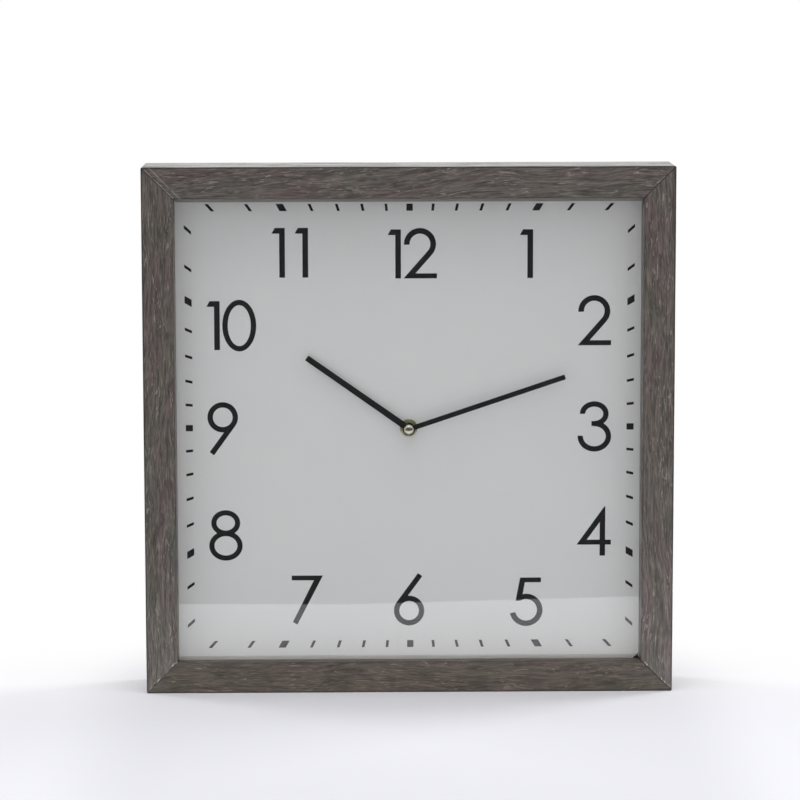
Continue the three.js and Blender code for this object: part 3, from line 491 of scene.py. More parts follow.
for scratch_place, scratch_tone in ((0.6, "#9a928a"), (1.8, "#2a2624"), (4.0, "#958d85")):
    away = add("Math SUBTRACT", [mitre, scratch_place])
    away = add("Math ABSOLUTE", [away])
    scratch = add("MapRange", {"Value": away, "From": (0.42, 0.15)})
    scratch = add("Math MULTIPLY", [scratch, broken])
    scratch = add("Math MULTIPLY", [scratch, scratch_part])
    body = add("Mix RGBA", {"Factor": scratch, "A": body, "B": scratch_tone})
body = add("Mix RGBA", {"Factor": sawn, "A": body, "B": "#1d1a18"})
dull = add("MapRange", {"Value": streak, "To": (0.66, 0.46)})
wax = add("Math ADD", [streak, patch])
wax = add("MapRange", {"Value": wax, "From": (0.8, 1.15), "To": (0.4, 1.0)})
wax = add("Math MULTIPLY", [wax, coat])
relief = add("Math ADD", [streak, fibre])
bump = add("Bump", {"Height": relief, "Strength": 0.35, "Distance": 0.0002})
skin = add("BsdfPrincipled", {
    "Base Color": body, "Roughness": dull, "IOR": 1.45, "Normal": bump,
    "Coat Weight": wax, "Coat Roughness": 0.25, "Coat Normal": bump,
})
add("OutputMaterial", {"Surface": skin})

for rail, side in enumerate(RAIL_NAMES):
    formed(f"{side}_rail", rail_form(rail), stained_pine, "clock", "stained_wood", f"frame_{side}_rail")


# Glass pane
# A cut pane of 2 mm window glass that lies against the back of the lip.
# It mirrors the table's front half in its lower part.
def dress(finish, *nodes):
    """Gives CAD nodes a finish."""
    for node in nodes:
        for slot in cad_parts[node].material_slots:
            slot.material = finish


# Window glass: clear, with a faint green cast and a sharp double reflection.
window_glass, add = new_material("clear_window_glass")
place = add("TexCoord", give="Object")
smudge = add("TexNoise", {"Vector": place, "Scale": 30.0, "Detail": 3.0})
clear = add("Mix RGBA", {"Factor": smudge, "A": "#fdfefd", "B": "#fbfcfc"})
pane = add("BsdfPrincipled", {
    "Base Color": clear, "Roughness": 0.0, "IOR": 1.58, "Transmission Weight": 1.0,
})
shadow = add("LightPath", give="Is Shadow Ray")
through = add("BsdfTransparent", {"Color": "#f6f8f7"})
mixed = add("MixShader", [shadow, pane, through])
add("OutputMaterial", {"Surface": mixed})
dress(window_glass, "glass_pane")


# Spacers
# Four strips of fibreboard between the glass and the dial, cut by hand and painted.
# The paint lies in faint brush lines. The top strip is grey, the bottom one paler as painted light,
# the side ones darker as painted shade, and the bottom one's right end near black as painted shade.
BRUSH_LINES = (20.0, 1200.0, 20.0)
CUT_SOFT = 0.2
# Two (across, depth) places in mm on the slanted line. Right of this line, the bottom strip is painted
# near black as painted shade.
PAINTED_SHADE_FRONT = (171.0, 11.3)
PAINTED_SHADE_BACK = (174.4, 23.7)


def fine_finish(name, tones, grains, detail, surface, dull=None, relief=None, over=None):
    """Makes a finish whose tone, dullness or relief waver in one fine noise of grains to the metre."""
    made, add = new_material(name)
    place = add("TexCoord", give="Object")
    waver = stretched(add, place, grains, detail)
    low, high = tones
    tone = add("Mix RGBA", {"Factor": waver, "A": low, "B": high})
    inputs = {"Base Color": over(add, place, tone) if over else tone, **surface}
    if dull:
        inputs["Roughness"] = add("MapRange", {"Value": waver, "To": dull})
    if relief:
        strength, distance = relief
        inputs["Normal"] = add("Bump", {"Height": waver, "Strength": strength, "Distance": distance})
    skin = add("BsdfPrincipled", inputs)
    add("OutputMaterial", {"Surface": skin})
    return made


def beyond(add, place, axis, low, high, offset=0.0):
    """Gives 1 right of a slanted line through two (across, other axis) places in mm, and 0 left of it."""
    steep = (high[1] - low[1]) / (high[0] - low[0])
    direction = [steep, 0.0, 0.0]
    direction[axis] = -1.0
    over = add("VectorMath DOT_PRODUCT", [place, direction], give="Value")
    limit = steep * low[0] - low[1] - offset
    return add("MapRange", {"Value": over, "From": (limit * MM, (limit + CUT_SOFT) * MM)})


def painted_shade_end(add, place, tone):
    """Paints shade, near black, on the bottom strip right of a slanted line."""
    painted_shade = beyond(add, place, 1, PAINTED_SHADE_FRONT, PAINTED_SHADE_BACK, FRONT)
    return add("Mix RGBA", {"Factor": painted_shade, "A": tone, "B": "#0d0c0b"})


# One grey paint in three tones. The bottom strip's paler tones are painted light, and the side strips'
# darker tones are painted shade.
for paint, tones, over, nodes in (
    ("matt_grey_paint", ("#a6a29e", "#b5b1ad"), None, ("spacer_top",)),
    ("matt_grey_paint_with_painted_light", ("#bfb9b5", "#cbc5c1"), painted_shade_end, ("spacer_bottom",)),
    ("matt_grey_paint_with_painted_shade", ("#8c8580", "#9a938e"), None, ("spacer_left", "spacer_right")),
):
    dress(fine_finish(
        paint, tones, BRUSH_LINES, 3.0, {"Roughness": 0.8, "IOR": 1.45}, relief=(0.3, 0.0001), over=over,
    ), *nodes)


# Dial sheet
# A sheet of heavy matt paper glued to the backing board.
# The paper's fibres show as a faint mottle. Its lower right corner is painted near black on a slant, as
# painted shade.
PAINTED_SHADE_CORNER_LOW = (171.9, 22.2)
PAINTED_SHADE_CORNER_HIGH = (176.4, 25.4)

dial_paper, add = new_material("matt_dial_paper")
place = add("TexCoord", give="Object")
fibre = add("TexNoise", {"Vector": place, "Scale": 900.0, "Detail": 3.0})
cloud = add("TexNoise", {"Vector": place, "Scale": 8.0, "Detail": 2.0})
tone = add("Mix RGBA", {"Factor": cloud, "A": "#f3f2f3", "B": "#f5f4f5"})
grey = add("MapRange", {"Value": fibre, "To": (0.0, 0.12)})
# Painted shade: the paper is near black beyond the slanted line at its lower right corner.
cut = beyond(add, place, 2, PAINTED_SHADE_CORNER_LOW, PAINTED_SHADE_CORNER_HIGH)
for mask, colour in ((grey, "#d8d7d8"), (cut, "#0d0c0b")):
    tone = add("Mix RGBA", {"Factor": mask, "A": tone, "B": colour})
bump = add("Bump", {"Height": fibre, "Strength": 0.15, "Distance": 0.00005})
skin = add("BsdfPrincipled", {"Base Color": tone, "Roughness": 0.75, "IOR": 1.45, "Normal": bump})
add("OutputMaterial", {"Surface": skin})
dress(dial_paper, "dial_sheet")


# Minute marks
# Sixty printed strokes that all point at the middle, with both ends cut along a square track.
# The twelve hour strokes are bolder.
DIAL_DEPTH = 24.0
PRINT_ACROSS = 0.94
PRINT_HEIGHT = 200.41
INK_LIFT = 0.03
MARK_INNER = 164.8
MARK_OUTER = 170.2
MARK_THIN = 2.0
MARK_BOLD = 4.8
MARKS_PER_SIDE = 15
MARKS_PER_HOUR = 5.0
SIDES = 4
MARK_ANGLE = math.radians(6)


def new_growth(name, **inputs):
    """Starts a geometry tree and returns it, a function that adds nodes to it, and its named inputs."""
    tree = bpy.data.node_groups.new(name, "GeometryNodeTree")
    for label, kind in inputs.items():
        tree.interface.new_socket(label, in_out="INPUT", socket_type="NodeSocket" + kind)
    tree.interface.new_socket("Geometry", in_out="OUTPUT", socket_type="NodeSocketGeometry")
    return tree, partial(put, tree), tree.nodes.new("NodeGroupInput").outputs


def grown(name, tree, values, body, slot, *nodes):
    """Grows a piece by its geometry tree and keeps the result as a plain mesh."""
    made = linked(name, bpy.data.meshes.new(name))
    growth = made.modifiers.new("growth", "NODES")
    growth.node_group = tree
    for item in tree.interface.items_tree:
        if item.in_out == "INPUT":
            growth[item.identifier] = values[item.name]
    graph = bpy.context.evaluated_depsgraph_get()
    mesh = bpy.data.meshes.new_from_object(
        made.evaluated_get(graph), preserve_all_data_layers=True, depsgraph=graph)
    made.modifiers.clear()
    made.data = mesh
    as_piece(made, body, slot, *nodes)


def finished(add, geometry, finish):
    """Ends a geometry tree: makes its copies real and gives them their finish."""
    real = add("GeometryNodeRealizeInstances", {"Geometry": geometry})
    coated = add("GeometryNodeSetMaterial", {"Geometry": real, "Material": finish})
    add("NodeGroupOutput", {"Geometry": coated})


# Screen ink: black with a trace of blue, flat and slightly uneven in its cover.
dial_ink = fine_finish("matt_black_ink", ("#18191a", "#1e1f20"), (500.0, 500.0, 500.0), 2.0, {
    "Roughness": 0.9, "IOR": 1.4, "Specular IOR Level": 0.12,
})

marks_tree, add, given = new_growth(
    "minute_marks", Inner="Float", Outer="Float", Thin="Float", Bold="Float", Count="Int",
    Centre="Vector", Ink="Material",
)
square = add("GeometryNodeMeshGrid", {"Size X": 1.0, "Size Y": 1.0, "Vertices X": 2, "Vertices Y": 2})
copies, count = add("GeometryNodeDuplicateElements", {
    "Geometry": square, "Amount": given["Count"],
}, domain="FACE", give=("Geometry", "Duplicate Index"))
side = add("Math DIVIDE", [count, MARKS_PER_SIDE])
side = add("Math FLOOR", [side])
done = add("Math MULTIPLY", [side, MARKS_PER_SIDE])
step = add("Math SUBTRACT", [count, done])
step = add("Math SUBTRACT", [step, (MARKS_PER_SIDE - 1) / 2])
angle = add("Math MULTIPLY", [step, MARK_ANGLE])
hour = add("Math FLOORED_MODULO", [step, MARKS_PER_HOUR])
hour = add("Math LESS_THAN", [hour, 0.5])
width = add("Mix FLOAT", {"Factor": hour, "A": given["Thin"], "B": given["Bold"]})
own = add("GeometryNodeInputPosition")
own_x, own_y = add("SeparateXYZ", [own], give=("X", "Y"))
reach = add("Math ADD", [own_y, 0.5])
radius = add("MapRange", {"Value": reach, "To": (given["Inner"], given["Outer"])})
lean = add("Math TANGENT", [angle])
lean = add("Math MULTIPLY", [lean, radius])
narrow = add("Math COSINE", [angle])
spread = add("Math MULTIPLY", [own_x, width])
spread = add("Math DIVIDE", [spread, narrow])
across = add("Math ADD", [lean, spread])
flat = add("CombineXYZ", {"X": across, "Z": radius})
turn = add("Math MULTIPLY", [side, math.pi / 2])
round_dial = add("VectorRotate", {"Vector": flat, "Angle": turn}, rotation_type="Y_AXIS")
placed = add("VectorMath ADD", [round_dial, given["Centre"]])
moved = add("GeometryNodeSetPosition", {"Geometry": copies, "Position": placed})
finished(add, moved, given["Ink"])

grown("minute_marks", marks_tree, {
    "Inner": MARK_INNER * MM, "Outer": MARK_OUTER * MM, "Thin": MARK_THIN * MM, "Bold": MARK_BOLD * MM,
    "Count": MARKS_PER_SIDE * SIDES, "Centre": at(PRINT_ACROSS, DIAL_DEPTH - INK_LIFT, PRINT_HEIGHT),
    "Ink": dial_ink,
}, "clock", "dial_paper")


# Numerals
# Twelve plain numerals in even strokes, printed in the same ink as the marks.
# Each is placed by its own measured distances from the middle of the dial.
STROKE = 4.3
RING_STROKE = 4.1
BAR_STROKE = 3.8
CURVE_STEPS = 48
STROKE_LIFT = 0.012
LIFTS = 4


def arc(middle, across, upright, start, end):
    """Gives points on an ellipse from one angle to another, in degrees."""
    count = max(2, round(abs(end - start) / 360 * CURVE_STEPS))
    turns = [math.radians(start + (end - start) * step / count) for step in range(count + 1)]
    return [(middle[0] + across * math.cos(t), middle[1] + upright * math.sin(t)) for t in turns]


def band(middle, halves, stroke, start=0.0, end=360.0):
    """Gives the quads of a curved stroke, by its outer half width and half height."""
    across, upright = halves
    outer = arc(middle, across, upright, start, end)
    inner = arc(middle, across - stroke, upright - stroke, start, end)
    return [[a, b, d, c] for a, b, c, d in zip(outer, outer[1:], inner, inner[1:])]


def corners_at(x, z, *corners):
    """Gives a straight form's corners from their distances to a reference corner."""
    return [(x + across, z + up) for across, up in corners]


ONE_FLAG = 10.1
ONE_SLANT = 2.5


def one(right, low, high):
    """Gives a 1: a stem with a flag whose end is cut on a slant."""
    shoulder = high - STROKE
    return [[
        (right, low), (right, high), (right - ONE_FLAG + ONE_SLANT, high), (right - ONE_FLAG, shoulder),
        (right - STROKE, shoulder), (right - STROKE, low),
    ]]


TWO_BOWL = 10.0
TWO_BOWL_LEFT = 0.2
TWO_BOWL_RISE = 26.1
TWO_WIDTH = 25.4
TWO_LEAN = -0.72
TWO_START = 183
TWO_INNER_FOOT = 4


def two(left, low):
    """Gives a 2: a bowl, a straight diagonal and a base."""
    middle = (left + TWO_WIDTH / 2 - TWO_BOWL_LEFT, low + TWO_BOWL_RISE)
    outer = TWO_BOWL + STROKE / 2
    top = band(middle, (outer, outer), STROKE, TWO_START, math.degrees(TWO_LEAN))
    aim = (math.sin(TWO_LEAN), -math.cos(TWO_LEAN))
    rim = (middle[0] + outer * math.cos(TWO_LEAN), middle[1] + outer * math.sin(TWO_LEAN))
    hollow = (rim[0] - STROKE * math.cos(TWO_LEAN), rim[1] - STROKE * math.sin(TWO_LEAN))
    feet = [(x + aim[0] * (low - z) / aim[1], low) for x, z in (hollow, rim)]
    base = [(feet[0][0], low), (left + TWO_WIDTH, low), (left + TWO_WIDTH, low + BAR_STROKE),
            (feet[0][0] + TWO_INNER_FOOT, low + BAR_STROKE)]
    return top + [[rim, hollow, feet[0], feet[1]], base]


THREE_UPPER = (11.0, 9.6)
THREE_UPPER_RISE = 7.5
THREE_LOWER = (12.8, 11.8)
THREE_LOWER_RIGHT = 0.2
THREE_LOWER_DROP = 9.8
THREE_UPPER_TURN = (180, -90)
THREE_LOWER_TURN = (90, -183)
THREE_BAR_LEFT = 2.1
THREE_BAR_RIGHT = 1


def three(middle_x, bar_z):
    """Gives a 3: two bowls that meet at a short bar."""
    upper = (middle_x, bar_z + THREE_UPPER_RISE)
    lower = (middle_x + THREE_LOWER_RIGHT, bar_z - THREE_LOWER_DROP)
    half = BAR_STROKE / 2
    bar = corners_at(middle_x, bar_z, (-THREE_BAR_LEFT, -half), (THREE_BAR_RIGHT, -half),
                     (THREE_BAR_RIGHT, half), (-THREE_BAR_LEFT, half))
    return (band(upper, THREE_UPPER, RING_STROKE, *THREE_UPPER_TURN)
            + band(lower, THREE_LOWER, RING_STROKE, *THREE_LOWER_TURN) + [bar])


FOUR_STEM = 4.2
FOUR_BAR_DROP = 29.7
FOUR_BAR_LEFT = 21.9
FOUR_BAR_RIGHT = 4.4
FOUR_BAR_CUT = 2.8
FOUR_TIP = 0.6
FOUR_STEM_CUT = 5.0
FOUR_HOLLOW = 7.8
FOUR_HOLLOW_DROP = 12.3
FOUR_TIP_DROP = 6.6


def four(right, low, high):
    """Gives a 4: a stem, a crossbar and a diagonal that ends in a point."""
    stem = right - FOUR_STEM
    bar_low = high - FOUR_BAR_DROP
    bar_high = bar_low + BAR_STROKE
    corner = right - FOUR_BAR_LEFT
    end = right + FOUR_BAR_RIGHT
    tip = (right - FOUR_TIP, high)
    return [
        [(stem, low), (right, low), (right, high), tip, (stem, high - FOUR_STEM_CUT)],
        [(corner, bar_low), (end, bar_low), (end, bar_high), (corner + FOUR_BAR_CUT, bar_high)],
        [(corner, bar_low), (corner + FOUR_HOLLOW, bar_high), (stem, high - FOUR_HOLLOW_DROP),
         (right, high - FOUR_TIP_DROP), tip],
    ]


FIVE_BOWL = (12.6, 12.6)
FIVE_BOWL_PLACE = (4.6, -25.2)
FIVE_BOWL_TURN = (100, -168)
FIVE_STROKE = 4.2
FIVE_HOLLOW = (8.4, 8.4)
FIVE_HOLLOW_TURN = (100, 120)
FIVE_CROOK_TOP = (-2.2, 12.3)
FIVE_CROOK = (1.0, -13.9)
FIVE_STEM = 4.3
FIVE_STEM_FOOT = (1.6, -15.2)
FIVE_TIP = (-3.5, -18.2)
FIVE_BAR = 16.0
FIVE_BAR_CUT = 0.2
HEEL = 3.7


def five(left, high):
    """Gives a 5: a bar, a leaning stem and an open bowl."""
    middle, tip, bend = corners_at(left, high, FIVE_BOWL_PLACE, FIVE_TIP, FIVE_CROOK)
    inside = arc(middle, *FIVE_HOLLOW, *FIVE_HOLLOW_TURN)
    crook = [tip, *reversed(inside), *corners_at(*middle, FIVE_CROOK_TOP), bend]
    bar = corners_at(left, high, (0, 0), (FIVE_BAR, 0), (FIVE_BAR, -HEEL), (FIVE_BAR_CUT, -HEEL))
    stem = corners_at(left, high, (0, 0), (FIVE_STEM, 0), FIVE_STEM_FOOT, FIVE_TIP)
    return band(middle, FIVE_BOWL, FIVE_STROKE, *FIVE_BOWL_TURN) + [crook, bar, stem]


SIX_RING = 11.6
SIX_REACH = 27.6
SIX_LEAN = math.radians(36)


def six(middle, turned_round):
    """Gives a 6: a ring with a straight tail that leaves it at a tangent. Turned round, it is a 9."""
    aim = (math.sin(SIX_LEAN) * SIX_REACH, math.cos(SIX_LEAN) * SIX_REACH)
    touch, edge = (
        (-radius * math.cos(SIX_LEAN), radius * math.sin(SIX_LEAN))
        for radius in (SIX_RING, SIX_RING - RING_STROKE)
    )
    tail = [touch, edge, *corners_at(*aim, edge, touch)]
    sign = -1 if turned_round else 1
    forms = band((0, 0), (SIX_RING, SIX_RING), RING_STROKE) + [tail]
    return [corners_at(*middle, *((sign * x, sign * z) for x, z in form)) for form in forms]


SEVEN_BAR = 23.9
SEVEN_BAR_CUT = 1.9
SEVEN_FOOT = ((4.1, -38.2), (0.7, -36.1))
SEVEN_SLANT = 5.1


def seven(left, high):
    """Gives a 7: a bar and a diagonal whose foot is cut square."""
    bar = corners_at(left, high, (0, 0), (SEVEN_BAR, 0), (SEVEN_BAR - SEVEN_BAR_CUT, -HEEL), (0, -HEEL))
    diagonal = corners_at(left, high, (SEVEN_BAR, 0), *SEVEN_FOOT, (SEVEN_BAR - SEVEN_SLANT, 0))
    return [bar, diagonal]


EIGHT_UPPER = (11.05, 9.9)
EIGHT_LOWER = (12.75, 11.5)
EIGHT_LOWER_DROP = 27.6
EIGHT_STROKE = 4.0


def eight(middle_x, high):
    """Gives an 8: a smaller ring above a larger one that share their stroke."""
    return (band((middle_x, high - EIGHT_UPPER[1]), EIGHT_UPPER, EIGHT_STROKE)
            + band((middle_x, high - EIGHT_LOWER_DROP), EIGHT_LOWER, EIGHT_STROKE))


PRINT_SCALE = 0.9982
NUMERALS = {
    "12": one(-6.6, 113.8, 151.0) + two(-4.7, 113.8),
    "1": one(93.4, 113.8, 150.8),
    "2": two(127.5, 62.4),
    "3": three(140.4, 2.3),
    "4": four(149.3, -99.9, -61.6),
    "5": five(84.3, -116.7),
    "6": six((-0.85, -142.0), False),
    "7": seven(-90.7, -114.4),
    "8": eight(-140.8, -63.4),
    "9": six((-142.4, 8.2), True),
    "10": one(-144.0, 59.7, 97.0) + band((-129.25, 78.3), (12.85, 19.7), RING_STROKE),
    "11": one(-94.3, 114.7, 152.4) + one(-76.8, 114.7, 152.4),
}

form = bmesh.new()
for numeral in NUMERALS.values():
    for count, stroke in enumerate(numeral):
        lift = INK_LIFT + STROKE_LIFT * (count % LIFTS)
        corners = [form.verts.new(at(
            PRINT_ACROSS + x * PRINT_SCALE, DIAL_DEPTH - lift, PRINT_HEIGHT + z * PRINT_SCALE,
        )) for x, z in stroke]
        face = form.faces.new(corners)
        face.normal_update()
        if face.normal.y > 0:
            face.normal_flip()
mesh = bpy.data.meshes.new("numerals")
form.to_mesh(mesh)
form.free()
mesh.materials.append(dial_ink)
as_piece(linked("numerals", mesh), "clock", "dial_paper")


# Backing board
# A square of 3 mm hardboard that carries the dial and closes the back of the frame.
# Its back keeps the woven print of the press screen.
SCREEN_PITCH = 8.168
WAVE_OF_ONE = 2 * math.pi / 20
BOARD_SOFT = 0.35
JOIN_WITHIN = 0.002
FLAT_WITHIN = math.radians(1)
CRISP_ANGLE = math.radians(35)


def softened(name, node, finish, body, slot, width):
    """Copies a CAD node, joins its loose triangles and rounds its sharp edges."""
    form = bmesh.new()
    form.from_mesh(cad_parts[node].data)
    bmesh.ops.remove_doubles(form, verts=form.verts, dist=JOIN_WITHIN * MM)
    bmesh.ops.dissolve_limit(form, angle_limit=FLAT_WITHIN, verts=form.verts, edges=form.edges)
    crisp = [e for e in form.edges if e.is_manifold and e.calc_face_angle() > CRISP_ANGLE]
    bmesh.ops.bevel(
        form, geom=crisp, offset=width * MM, offset_type="OFFSET", segments=2, profile=0.5,
        affect="EDGES", clamp_overlap=True)
    formed(name, form, finish, body, slot, node)


# Hardboard: brown pressed fibre, smooth and mottled, with the screen's grid pressed softly into it.
# The real grid repeats every 1.3 mm or so. It is drawn coarser here, as coarse as it needs to show.
# A wave texture of scale 1 repeats after WAVE_OF_ONE metres.
hardboard, add = new_material("pressed_hardboard")
place = add("TexCoord", give="Object")
shred = stretched(add, place, (420.0, 420.0, 1500.0), 4.0)
cloud = add("TexNoise", {"Vector": place, "Scale": 25.0, "Detail": 4.0})
tone = add("Mix RGBA", {"Factor": cloud, "A": "#7d5e3f", "B": "#9a7a55"})
speck = add("MapRange", {"Value": shred, "From": (0.35, 0.7), "To": (0.0, 0.55)})
tone = add("Mix RGBA", {"Factor": speck, "A": tone, "B": "#5c422b"})
grid_x, grid_z = (add("TexWave", {
    "Vector": place, "Scale": WAVE_OF_ONE / (SCREEN_PITCH * MM), "Distortion": 0.4,
}, bands_direction=axis) for axis in ("X", "Z"))
grid = add("Math MULTIPLY", [grid_x, grid_z])
grid = add("Math ADD", [grid, shred])
bump = add("Bump", {"Height": grid, "Strength": 0.5, "Distance": 0.0002})
skin = add("BsdfPrincipled", {"Base Color": tone, "Roughness": 0.72, "IOR": 1.45, "Normal": bump})
add("OutputMaterial", {"Surface": skin})
softened("hardboard_back", "backing_board", hardboard, "clock", "board", BOARD_SOFT)


# Board tabs
# Eight pointed steel tabs shot into the rails, two to a side. They press the board towards the glass.
# One tab is made and set round the frame.
TAB_WIDTH = 7.0
TAB_REACH = 6.5
TAB_GRIP = 4.5
TAB_SHEET = 0.6
TAB_DEPTH = 28.5
TAB_SPREAD = 95.0
TABS_PER_SIDE = 2
TAB_POINT = 0.34
TAB_ROWS = 5

# Zinc plate on rolled steel: cool grey, faintly cloudy, with fine lines from rolling.
zinc_steel, add = new_material("zinc_plated_steel")
place = add("TexCoord", give="Object")
rolled = stretched(add, place, (300.0, 300.0, 4000.0), 2.0)
cloud = add("TexNoise", {"Vector": place, "Scale": 180.0, "Detail": 3.0})
tone = add("Mix RGBA", {"Factor": cloud, "A": "#a7a9ab", "B": "#c3c4c3"})
dull = add("MapRange", {"Value": rolled, "To": (0.28, 0.46)})
bump = add("Bump", {"Height": rolled, "Strength": 0.2, "Distance": 0.00005})
skin = add("BsdfPrincipled", {"Base Color": tone, "Metallic": 1.0, "Roughness": dull, "Normal": bump})
add("OutputMaterial", {"Surface": skin})

tabs_tree, add, given = new_growth(
    "tabs_round_frame", Width="Float", Sheet="Float", Length="Float", Point="Float", Spread="Float",
    From_middle="Float", Count="Int", Centre="Vector", Steel="Material",
)
size = add("CombineXYZ", {"X": given["Width"], "Y": given["Sheet"], "Z": given["Length"]})
blank = add("GeometryNodeMeshCube", {
    "Size": size, "Vertices X": 3, "Vertices Y": 2, "Vertices Z": TAB_ROWS,
})
own = add("GeometryNodeInputPosition")
own_x, own_y, own_z = add("SeparateXYZ", [own], give=("X", "Y", "Z"))
up = add("Math DIVIDE", [own_z, given["Length"]])
taper = add("MapRange", {"Value": up, "From": (0.0, 0.5), "To": (1.0, given["Point"])})
pinched = add("Math MULTIPLY", [own_x, taper])
cut = add("CombineXYZ", {"X": pinched, "Y": own_y, "Z": own_z})
blank = add("GeometryNodeSetPosition", {"Geometry": blank, "Position": cut})
seats = add("GeometryNodePoints", {"Count": given["Count"]})
number = add("GeometryNodeInputIndex")
side = add("Math DIVIDE", [number, TABS_PER_SIDE])
side = add("Math FLOOR", [side])
turn = add("Math MULTIPLY", [side, math.pi / 2])
odd = add("Math MODULO", [number, TABS_PER_SIDE])
hand = add("MapRange", {"Value": odd, "To": (-1.0, 1.0)})
across = add("Math MULTIPLY", [hand, given["Spread"]])
below = add("Math MULTIPLY", [given["From_middle"], -1.0])
seat = add("CombineXYZ", {"X": across, "Z": below})
seat = add("VectorRotate", {"Vector": seat, "Angle": turn}, rotation_type="Y_AXIS")
seat = add("VectorMath ADD", [seat, given["Centre"]])
seats = add("GeometryNodeSetPosition", {"Geometry": seats, "Position": seat})
facing = add("FunctionNodeEulerToRotation", {"Euler": add("CombineXYZ", {"Y": turn})})
placed = add("GeometryNodeInstanceOnPoints", {"Points": seats, "Instance": blank, "Rotation": facing})
finished(add, placed, given["Steel"])

grown("board_tabs", tabs_tree, {
    "Width": TAB_WIDTH * MM, "Sheet": TAB_SHEET * MM, "Length": (TAB_REACH + TAB_GRIP) * MM,
    "Point": TAB_POINT, "Spread": TAB_SPREAD * MM,
    "From_middle": (RAIL_LENGTH / 2 - RAIL_WALL - (TAB_REACH - TAB_GRIP) / 2) * MM,
    "Count": TABS_PER_SIDE * SIDES, "Centre": at(0, TAB_DEPTH, MIDDLE_HEIGHT), "Steel": zinc_steel,
}, "clock", "zinc_steel", *(
    f"board_tab_{side}_{number}" for side in ("bottom", "left", "top", "right") for number in (1, 2)
))


# Mitre nails
# One angle of steel strip pressed edgewise across each mitre from behind, flush with the wood.
dress(zinc_steel, "v_nail_bottom", "v_nail_left", "v_nail_top", "v_nail_right")


# Movement case
# The battery movement's housing, moulded in black ABS with a fine spark texture.
# The cover and the plate inside are clipped on.
CASE_SOFT = 0.5
COVER_SOFT = 0.3
SPARK_GRAIN = 0.35

# Black ABS: nearly black, with a fine matt grain and a soft broad sheen.
black_abs, add = new_material("spark_textured_black_abs")
place = add("TexCoord", give="Object")
spark = add("TexNoise", {"Vector": place, "Scale": 1 / (SPARK_GRAIN * MM), "Detail": 2.0})
handled = add("TexNoise", {"Vector": place, "Scale": 60.0, "Detail": 3.0})
tone = add("Mix RGBA", {"Factor": handled, "A": "#1e1e20", "B": "#29292b"})
dull = add("MapRange", {"Value": handled, "To": (0.48, 0.62)})
bump = add("Bump", {"Height": spark, "Strength": 0.35, "Distance": 0.0001})
skin = add("BsdfPrincipled", {"Base Color": tone, "Roughness": dull, "IOR": 1.54, "Normal": bump})
add("OutputMaterial", {"Surface": skin})
softened("moulded_case", "movement_case", black_abs, "clock", "case_plastic", CASE_SOFT)
softened("moulded_cover", "movement_cover", black_abs, "clock", "case_plastic", COVER_SOFT)
dress(black_abs, "middle_plate")

# A raised plus and minus above the cell's two ends, moulded with the cover.
SIGN_SIZE = 4.4
SIGN_STROKE = 1.1
SIGN_RISE = 0.5
SIGN_SOFT = 0.2
SIGN_ACROSS = 22.0
SIGN_HEIGHT = 194.2
COVER_BACK = 44.9


def sign_corners(plus):
    """Gives the corners of a plus or a minus, round its middle."""
    reach = SIGN_SIZE / 2
    half = SIGN_STROKE / 2
    if not plus:
        return [(-reach, -half), (reach, -half), (reach, half), (-reach, half)]
    arm = [(reach, -half), (reach, half), (half, half)]
    corners = []
    for quarter in range(4):
        corners += arm
        arm = [(-z, x) for x, z in arm]
    return corners


form = bmesh.new()
for hand, plus in ((-1, False), (1, True)):
    base, raised = ([form.verts.new(at(
        hand * SIGN_ACROSS + x, COVER_BACK + rise, SIGN_HEIGHT + z,
    )) for x, z in sign_corners(plus)] for rise in (0.0, SIGN_RISE))
    form.faces.new(base)
    form.faces.new(raised[::-1])
    for count, corner in enumerate(base):
        form.faces.new((corner, base[count - 1], raised[count - 1], raised[count]))
form.normal_update()
bmesh.ops.bevel(
    form, geom=form.edges[:], offset=SIGN_SOFT * MM, segments=1, affect="EDGES", clamp_overlap=True)
formed("polarity_signs", form, black_abs, "clock", "case_plastic")


# Neck and its fittings
# A brass neck comes through the board. A nut clamps the dial between a wide washer in front and
# a rubber one behind.
NECK_RADIUS = 4.0
NECK_PLAY = 0.1
NUT_FLATS = 11.0
NUT_FRONT = 21.1
NUT_BACK = 23.3
NUT_CHAMFER = 0.45
NUT_BORE_EASE = 0.3
CHAMFER_START = 0.97
WASHER_RADIUS = 6.7
WASHER_FRONT = 23.4
WASHER_BACK = 23.9
WASHER_EDGE = 0.15
WELD_WITHIN = 0.001
RING_PITCH = 0.34907


def swept(outline, closed, steps, spot):
    """Sweeps the outline's (radius, place along the axis) points round an axis that `spot` knows."""
    form = bmesh.new()
    rings = []
    for step in range(steps):
        angle = 2 * math.pi * step / steps
        rings.append([
            form.verts.new(spot(radius * math.cos(angle), radius * math.sin(angle), along))
            for radius, along in outline(angle)
        ])
    links = len(rings[0]) if closed else len(rings[0]) - 1
    for count, ring in enumerate(rings):
        beside = rings[(count + 1) % steps]
        for place in range(links):
            after = (place + 1) % len(ring)
            form.faces.new((ring[place], ring[after], beside[after], beside[place]))
    bmesh.ops.remove_doubles(form, verts=form.verts, dist=WELD_WITHIN * MM)
    return form


def turned(name, outline, finish, body, slot, *nodes, centre=(0.0, MIDDLE_HEIGHT), closed=True, steps=96):
    """Makes a piece that is turned round a Y axis."""
    form = swept(outline, closed, steps, lambda x, z, depth: at(centre[0] + x, depth, centre[1] + z))
    formed(name, form, finish, body, slot, *nodes)


